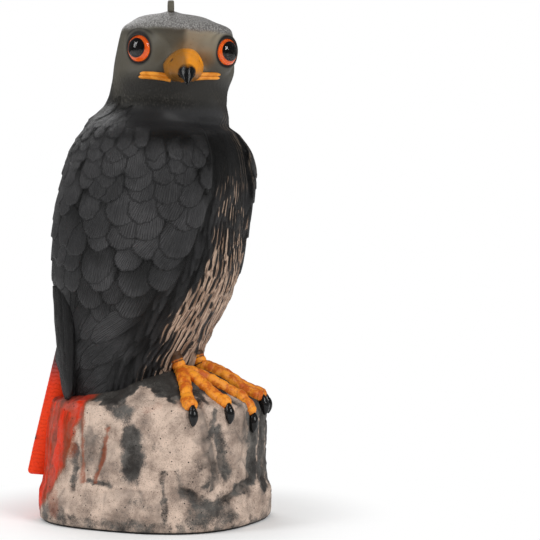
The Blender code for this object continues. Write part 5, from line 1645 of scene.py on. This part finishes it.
# Round above the hole, straight down beside it, and buried in the crown below
above = TAB_HALF - TAB_FLATTENED * np.sin(turn)
below_hole = np.minimum(TAB_HALF / np.maximum(np.abs(np.cos(turn)), 1e-6), TAB_BURIED)
reach = np.where(np.sin(turn) >= 0, above, below_hole)
rings = []
for k in circle(TAB_SIDES):
    # A rounded square section from the hole's wall to the tab's edge
    out_share = np.sign(math.cos(k)) * abs(math.cos(k)) ** 0.5
    thick_share = np.sign(math.sin(k)) * abs(math.sin(k)) ** 0.5
    radius = (TAB_HOLE + reach) / 2 + (reach - TAB_HOLE) / 2 * out_share
    aside = RIGHT * TAB_THICKNESS / 2 * thick_share
    rings.append(foot + UP * hole_height + direction * radius[:, None] + aside)
tab = solid("hanging_eye", np.array(rings), plumage_paint, closed=True)
shape = (TAB_SIDES, TAB_STEPS)
keep_values(tab, plume=np.zeros((*shape, 3)), plume_map=np.tile((0.0, 400.0, 0.6), (*shape, 1)))
keep_values(tab, paint_map=np.tile((0.0, 1.0, 0.0), (*shape, 1)), face_map=np.zeros((*shape, 3)))
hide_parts("shell")

# %% [markdown]
# ## Eyes
# The eyes are bought parts: a clear domed lens over a painted iris and a black pupil. In
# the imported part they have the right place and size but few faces, and a lens shows every
# one of them. So each is turned again from a finer profile about the same axis and stands
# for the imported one. A soft dark lid closes the seam between each lens and the head.

# %% Eyelids
LENS_RADIUS, LENS_HEIGHT, LENS_RIM = 10.0, 6.6, 1.4
lid_paint, tree, shader = new_material("Dark eyelid paint")
spot = object_space(tree)
tone = grain(tree, spot, 260.0, detail=3.0)
dusky = mixed(tree, tone, srgb(22, 19, 18), srgb(54, 46, 40))
gloss = calc(tree, "MULTIPLY_ADD", tone, 0.2, 0.3)
finish(tree, shader, dusky, gloss, tone, 0.4, 0.0003)

for side, word in SIDES:
    centre, out, level = eye_axes(side)
    turn = circle(72)
    radial = np.cos(turn)[:, None] * level + np.sin(turn)[:, None] * UP
    thick = 0.42 + 0.2 * np.clip(np.sin(turn), 0, 1)
    lid_level = LID_LEVEL + LID_OVERHANG * np.clip(np.sin(turn), -0.3, 1)
    rings = []
    for k in circle(16):
        proud = thick * 1.3 * math.sin(k) + lid_level - 0.1
        wide = LENS_RADIUS + 0.1 + thick * (1 + math.cos(k))
        rings.append(centre + radial * wide[:, None] + out * proud[:, None])
    lid = solid("eyelid_" + word, np.array(rings), lid_paint, closed=True)
    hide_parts("shell")

# %% Lens, iris and pupil finishes
lens_paints = {}
for word in ("right", "left"):
    lens_paint, tree, shader = new_material("Clear polished lens " + word, specular=1.0)
    shader.inputs["Base Color"].default_value = (1.0, 1.0, 1.0, 1.0)
    shader.inputs["Roughness"].default_value = 0.02
    shader.inputs["IOR"].default_value = 1.45
    shader.inputs["Transmission Weight"].default_value = 1.0
    lens_paints[word] = lens_paint

iris_paint, tree, shader = new_material("Orange iris paint with a painted glow", specular=0.1)
spot = object_space(tree)
flecks = grain(tree, spot, 900.0, detail=4.0, roughness=0.7)
iris_colour_and_glow = mixed(tree, spread(tree, flecks, 0.35, 0.7), srgb(250, 78, 14), srgb(255, 132, 44))
tree.links.new(iris_colour_and_glow, shader.inputs["Base Color"])
tree.links.new(calc(tree, "MULTIPLY_ADD", flecks, 0.2, 0.35), shader.inputs["Roughness"])
# Painted light: the iris glows a little in its own colour, though it is no lamp.
shader.inputs["Emission Strength"].default_value = 0.3
tree.links.new(iris_colour_and_glow, shader.inputs["Emission Color"])

pupil_paint, tree, shader = new_material("Black pupil paint", specular=0.02)
spot = object_space(tree)
flecks = grain(tree, spot, 500.0, detail=2.0)
tree.links.new(mixed(tree, flecks, srgb(3, 3, 3), srgb(12, 11, 11)), shader.inputs["Base Color"])
tree.links.new(calc(tree, "MULTIPLY_ADD", flecks, 0.1, 0.4), shader.inputs["Roughness"])

# %% Profiles of lens, iris and pupil
# radius, and height over the back of the lens
BALL = (LENS_RADIUS**2 + (LENS_HEIGHT - LENS_RIM) ** 2) / (2 * (LENS_HEIGHT - LENS_RIM))
slopes = np.linspace(math.asin(LENS_RADIUS / BALL), 0.02, 40)
LENS = ((0.3, 0.0), (9.8, 0.0), (9.95, 0.05), (LENS_RADIUS, 0.2), (LENS_RADIUS, LENS_RIM - 0.1))
LENS += tuple((BALL * math.sin(t), LENS_HEIGHT - BALL * (1 - math.cos(t))) for t in slopes)
IRIS = ((0.3, -1.1), (8.6, -1.1), (9.0, -0.5), (9.15, 1.0))
IRIS += ((8.9, 1.15), (8.0, 0.4), (6.5, 0.05), (0.3, 0.02))
PUPIL = ((2.4, -8.0), (2.4, -2.3), (7.9, -2.2), (7.9, -1.25), (5.6, -1.15), (6.6, 0.8), (6.75, 1.6))
PUPIL += ((6.3, 2.7), (4.8, 3.6), (2.6, 4.2), (0.3, 4.4))
EYE_SIDES = 96
PUPIL_OFFSET, PUPIL_LIFT = 1.5, 0.4
STEM_END = -1.2


# %% Lenses, dished irises and domed pupils
def turned_eye_piece(profile, side, shift=0.0):
    """Rings turned about an eye's axis. Past the stem they are shifted back and up."""
    centre, out, level = eye_axes(side)
    turn = circle(EYE_SIDES)
    radial = np.cos(turn)[:, None] * level + np.sin(turn)[:, None] * UP
    backward = out * (FORWARD @ out) - FORWARD
    backward = backward / np.linalg.norm(backward)
    moved = (backward + PUPIL_LIFT * UP) * shift
    rings = []
    for radius, proud in profile:
        rings.append(centre + radial * radius + out * proud + moved * (proud > STEM_END))
    return np.array(rings)


for side, word in SIDES:
    iris = solid("iris_" + word, turned_eye_piece(IRIS, side), iris_paint)
    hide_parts("iris_disc_" + word)
    pupil_rings = turned_eye_piece(PUPIL, side, PUPIL_OFFSET)
    pupil = solid("pupil_" + word, pupil_rings, pupil_paint)
    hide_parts("pupil_stem_" + word)
    lens = solid("lens_" + word, turned_eye_piece(LENS, side), lens_paints[word])
    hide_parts("eye_lens_" + word)

# %% [markdown]
# ## Stopper
# Under the base a stopper closes the hole through which the decoy is filled with sand or
# water. It could be turned again like the eyes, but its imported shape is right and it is
# seldom seen, so it stays. Only its material changes, in the slot that its mesh has.

# %% Stopper
stopper_paint, tree, shader = new_material("Dark grey stopper rubber")
spot = object_space(tree)
surface = use_group(tree, moulded, {"Position": spot, "Grain": 380.0, "Pits": 260.0})
rubber = mixed(tree, surface["Height"], srgb(36, 36, 38), srgb(62, 62, 64))
gloss = calc(tree, "MULTIPLY_ADD", surface["Height"], 0.25, 0.5)
finish(tree, shader, rubber, gloss, surface["Height"], 0.5, 0.0005)
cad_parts["fill_plug"].data.materials[0] = stopper_paint
print("the stopper is", stopper_paint.name)

# %% [markdown]
# ## Studio
# The decoy stands on a pale floor under three large soft lamps: the key from the camera's
# right, a weaker one from its left, and one from behind that draws the rim of the back.
# A modelled backdrop would throw its own light, so the white surround is the world. The
# camera sees it at full strength, it lights the bird at about half of that, and gloss
# reflects it more weakly still, so that dark paint stays dark.

# %% Camera
VIEW_ANGLE = math.radians(-60)
DISTANCE, CAMERA_HEIGHT = 1.473, 0.246
FOCUS_PIXELS, PICTURE, SENSOR = 1850, 540, 36
# the pixel where a level line from the camera to the hole's axis lands
AXIS_COLUMN, AXIS_ROW = 155.5, 207.2
toward = np.array((math.sin(VIEW_ANGLE), -math.cos(VIEW_ANGLE), 0.0))
eye_point = Vector(HOLE_AXIS * MM + toward * DISTANCE + UP * CAMERA_HEIGHT)
sight = Vector(-toward)
beside = sight.cross(Vector(UP))
yaw = (PICTURE / 2 - AXIS_COLUMN) / FOCUS_PIXELS
pitch = (PICTURE / 2 - AXIS_ROW) / FOCUS_PIXELS
aim = (sight + beside * yaw - Vector(UP) * pitch).normalized()
camera_data = bpy.data.cameras.new("camera")
camera_data.sensor_width = SENSOR
camera_data.lens = SENSOR * FOCUS_PIXELS / PICTURE
camera_data.clip_start, camera_data.clip_end = 0.05, 30
camera = add_object("camera", camera_data)
camera.location = eye_point
camera.rotation_euler = aim.to_track_quat("-Z", "Y").to_euler()
bpy.context.scene.camera = camera
print("camera at", [round(v, 3) for v in camera.location])


# %% Lamps
def soft_lamp(name, spot, target, size, power):
    lamp = bpy.data.lights.new(name, "AREA")
    lamp.shape = "RECTANGLE"
    lamp.size, lamp.size_y = size
    lamp.energy = power
    holder = add_object(name, lamp)
    holder.location = spot
    holder.rotation_euler = (Vector(target) - Vector(spot)).to_track_quat("-Z", "Y").to_euler()
    print(name, "gives", power, "W")


target = (0, 0, 0.22)
front = Vector(toward)
key_spot = front * 1.3 + beside * 1.1 + Vector((0, 0, 1.2))
side_spot = front * 0.52 - beside * 1.3 + Vector((0, 0, 0.98))
back_spot = front * -1.4 - beside * 0.4 + Vector((0, 0, 1.3))
soft_lamp("key lamp", key_spot, target, (0.75, 0.8), 18)
soft_lamp("side lamp", side_spot, target, (0.55, 1.0), 10)
soft_lamp("back lamp", back_spot, target, (1.0, 1.0), 10)

# %% World
ON_OBJECTS, IN_GLOSS = 0.52, 0.3
world = bpy.data.worlds.new("studio")
bpy.context.scene.world = world
world.use_nodes = True
tree = world.node_tree
background = tree.nodes["Background"]
path = put(tree, "ShaderNodeLightPath").outputs
seen = calc(tree, "MAXIMUM", path["Is Camera Ray"], path["Is Transmission Ray"])
strength = spread(tree, seen, 0.0, 1.0, ON_OBJECTS, 1.0)
dimmed = spread(tree, path["Is Glossy Ray"], 0.0, 1.0, 1.0, IN_GLOSS)
strength = calc(tree, "MULTIPLY", strength, dimmed)
background.inputs["Color"].default_value = (1.0, 1.0, 1.0, 1.0)
tree.links.new(strength, background.inputs["Strength"])

# %% Floor
FLOOR_HALF, FLOOR_LEVEL = 3.0, -0.0005
WHITE_FROM, WHITE_TO = 0.1, 0.2
floor_paint, tree, shader = new_material("Pale studio floor")
spot = object_space(tree)
tone = grain(tree, spot, 40.0, detail=3.0)
pale = mixed(tree, tone, (0.93, 0.93, 0.93, 1.0), (0.96, 0.96, 0.96, 1.0))
tree.links.new(pale, shader.inputs["Base Color"])
tree.links.new(calc(tree, "MULTIPLY_ADD", tone, 0.1, 0.75), shader.inputs["Roughness"])
# Away from the decoy the camera sees the floor run out into plain white.
output = tree.nodes["Material Output"]
x_at, y_at, _ = axes_of(tree, spot)
y_squared = calc(tree, "MULTIPLY", y_at, y_at)
far = calc(tree, "SQRT", calc(tree, "MULTIPLY_ADD", x_at, x_at, y_squared))
by_camera = put(tree, "ShaderNodeLightPath").outputs["Is Camera Ray"]
seen_far = calc(tree, "MULTIPLY", spread(tree, far, WHITE_FROM, WHITE_TO), by_camera)
white = put(tree, "ShaderNodeEmission", {"Color": (1.0, 1.0, 1.0, 1.0)}).outputs[0]
both = put(tree, "ShaderNodeMixShader", {0: seen_far, 1: shader.outputs[0], 2: white}).outputs[0]
# From below the floor is clear, so that the stopper and its hole can be looked at.
from_below = put(tree, "ShaderNodeNewGeometry").outputs["Backfacing"]
clear = put(tree, "ShaderNodeBsdfTransparent").outputs[0]
one_sided = put(tree, "ShaderNodeMixShader", {0: from_below, 1: both, 2: clear}).outputs[0]
tree.links.new(one_sided, output.inputs["Surface"])
floor_mesh = bpy.data.meshes.new("floor")
corners = ((-1, -1), (1, -1), (1, 1), (-1, 1))
corners = [(x * FLOOR_HALF, y * FLOOR_HALF, FLOOR_LEVEL) for x, y in corners]
floor_mesh.from_pydata(corners, [], [(0, 1, 2, 3)])
floor_mesh.materials.append(floor_paint)
floor = add_object("floor", floor_mesh)
floor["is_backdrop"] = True

# %% [markdown]
# ## Last settings
# The look must fill the same box as the imported part, because every size was set there. So
# both boxes are written out side by side. The plain view transform shows each colour
# about as it was written, where a film-like one would grey the orange.

# %% View settings and sizes
bpy.context.scene.view_settings.view_transform = "Standard"
look_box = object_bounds()
for word, low, high in (("low", cad_box[0], look_box[0]), ("high", cad_box[1], look_box[1])):
    print(word, "corner in mm:", [round(v / MM, 1) for v in low], [round(v / MM, 1) for v in high])
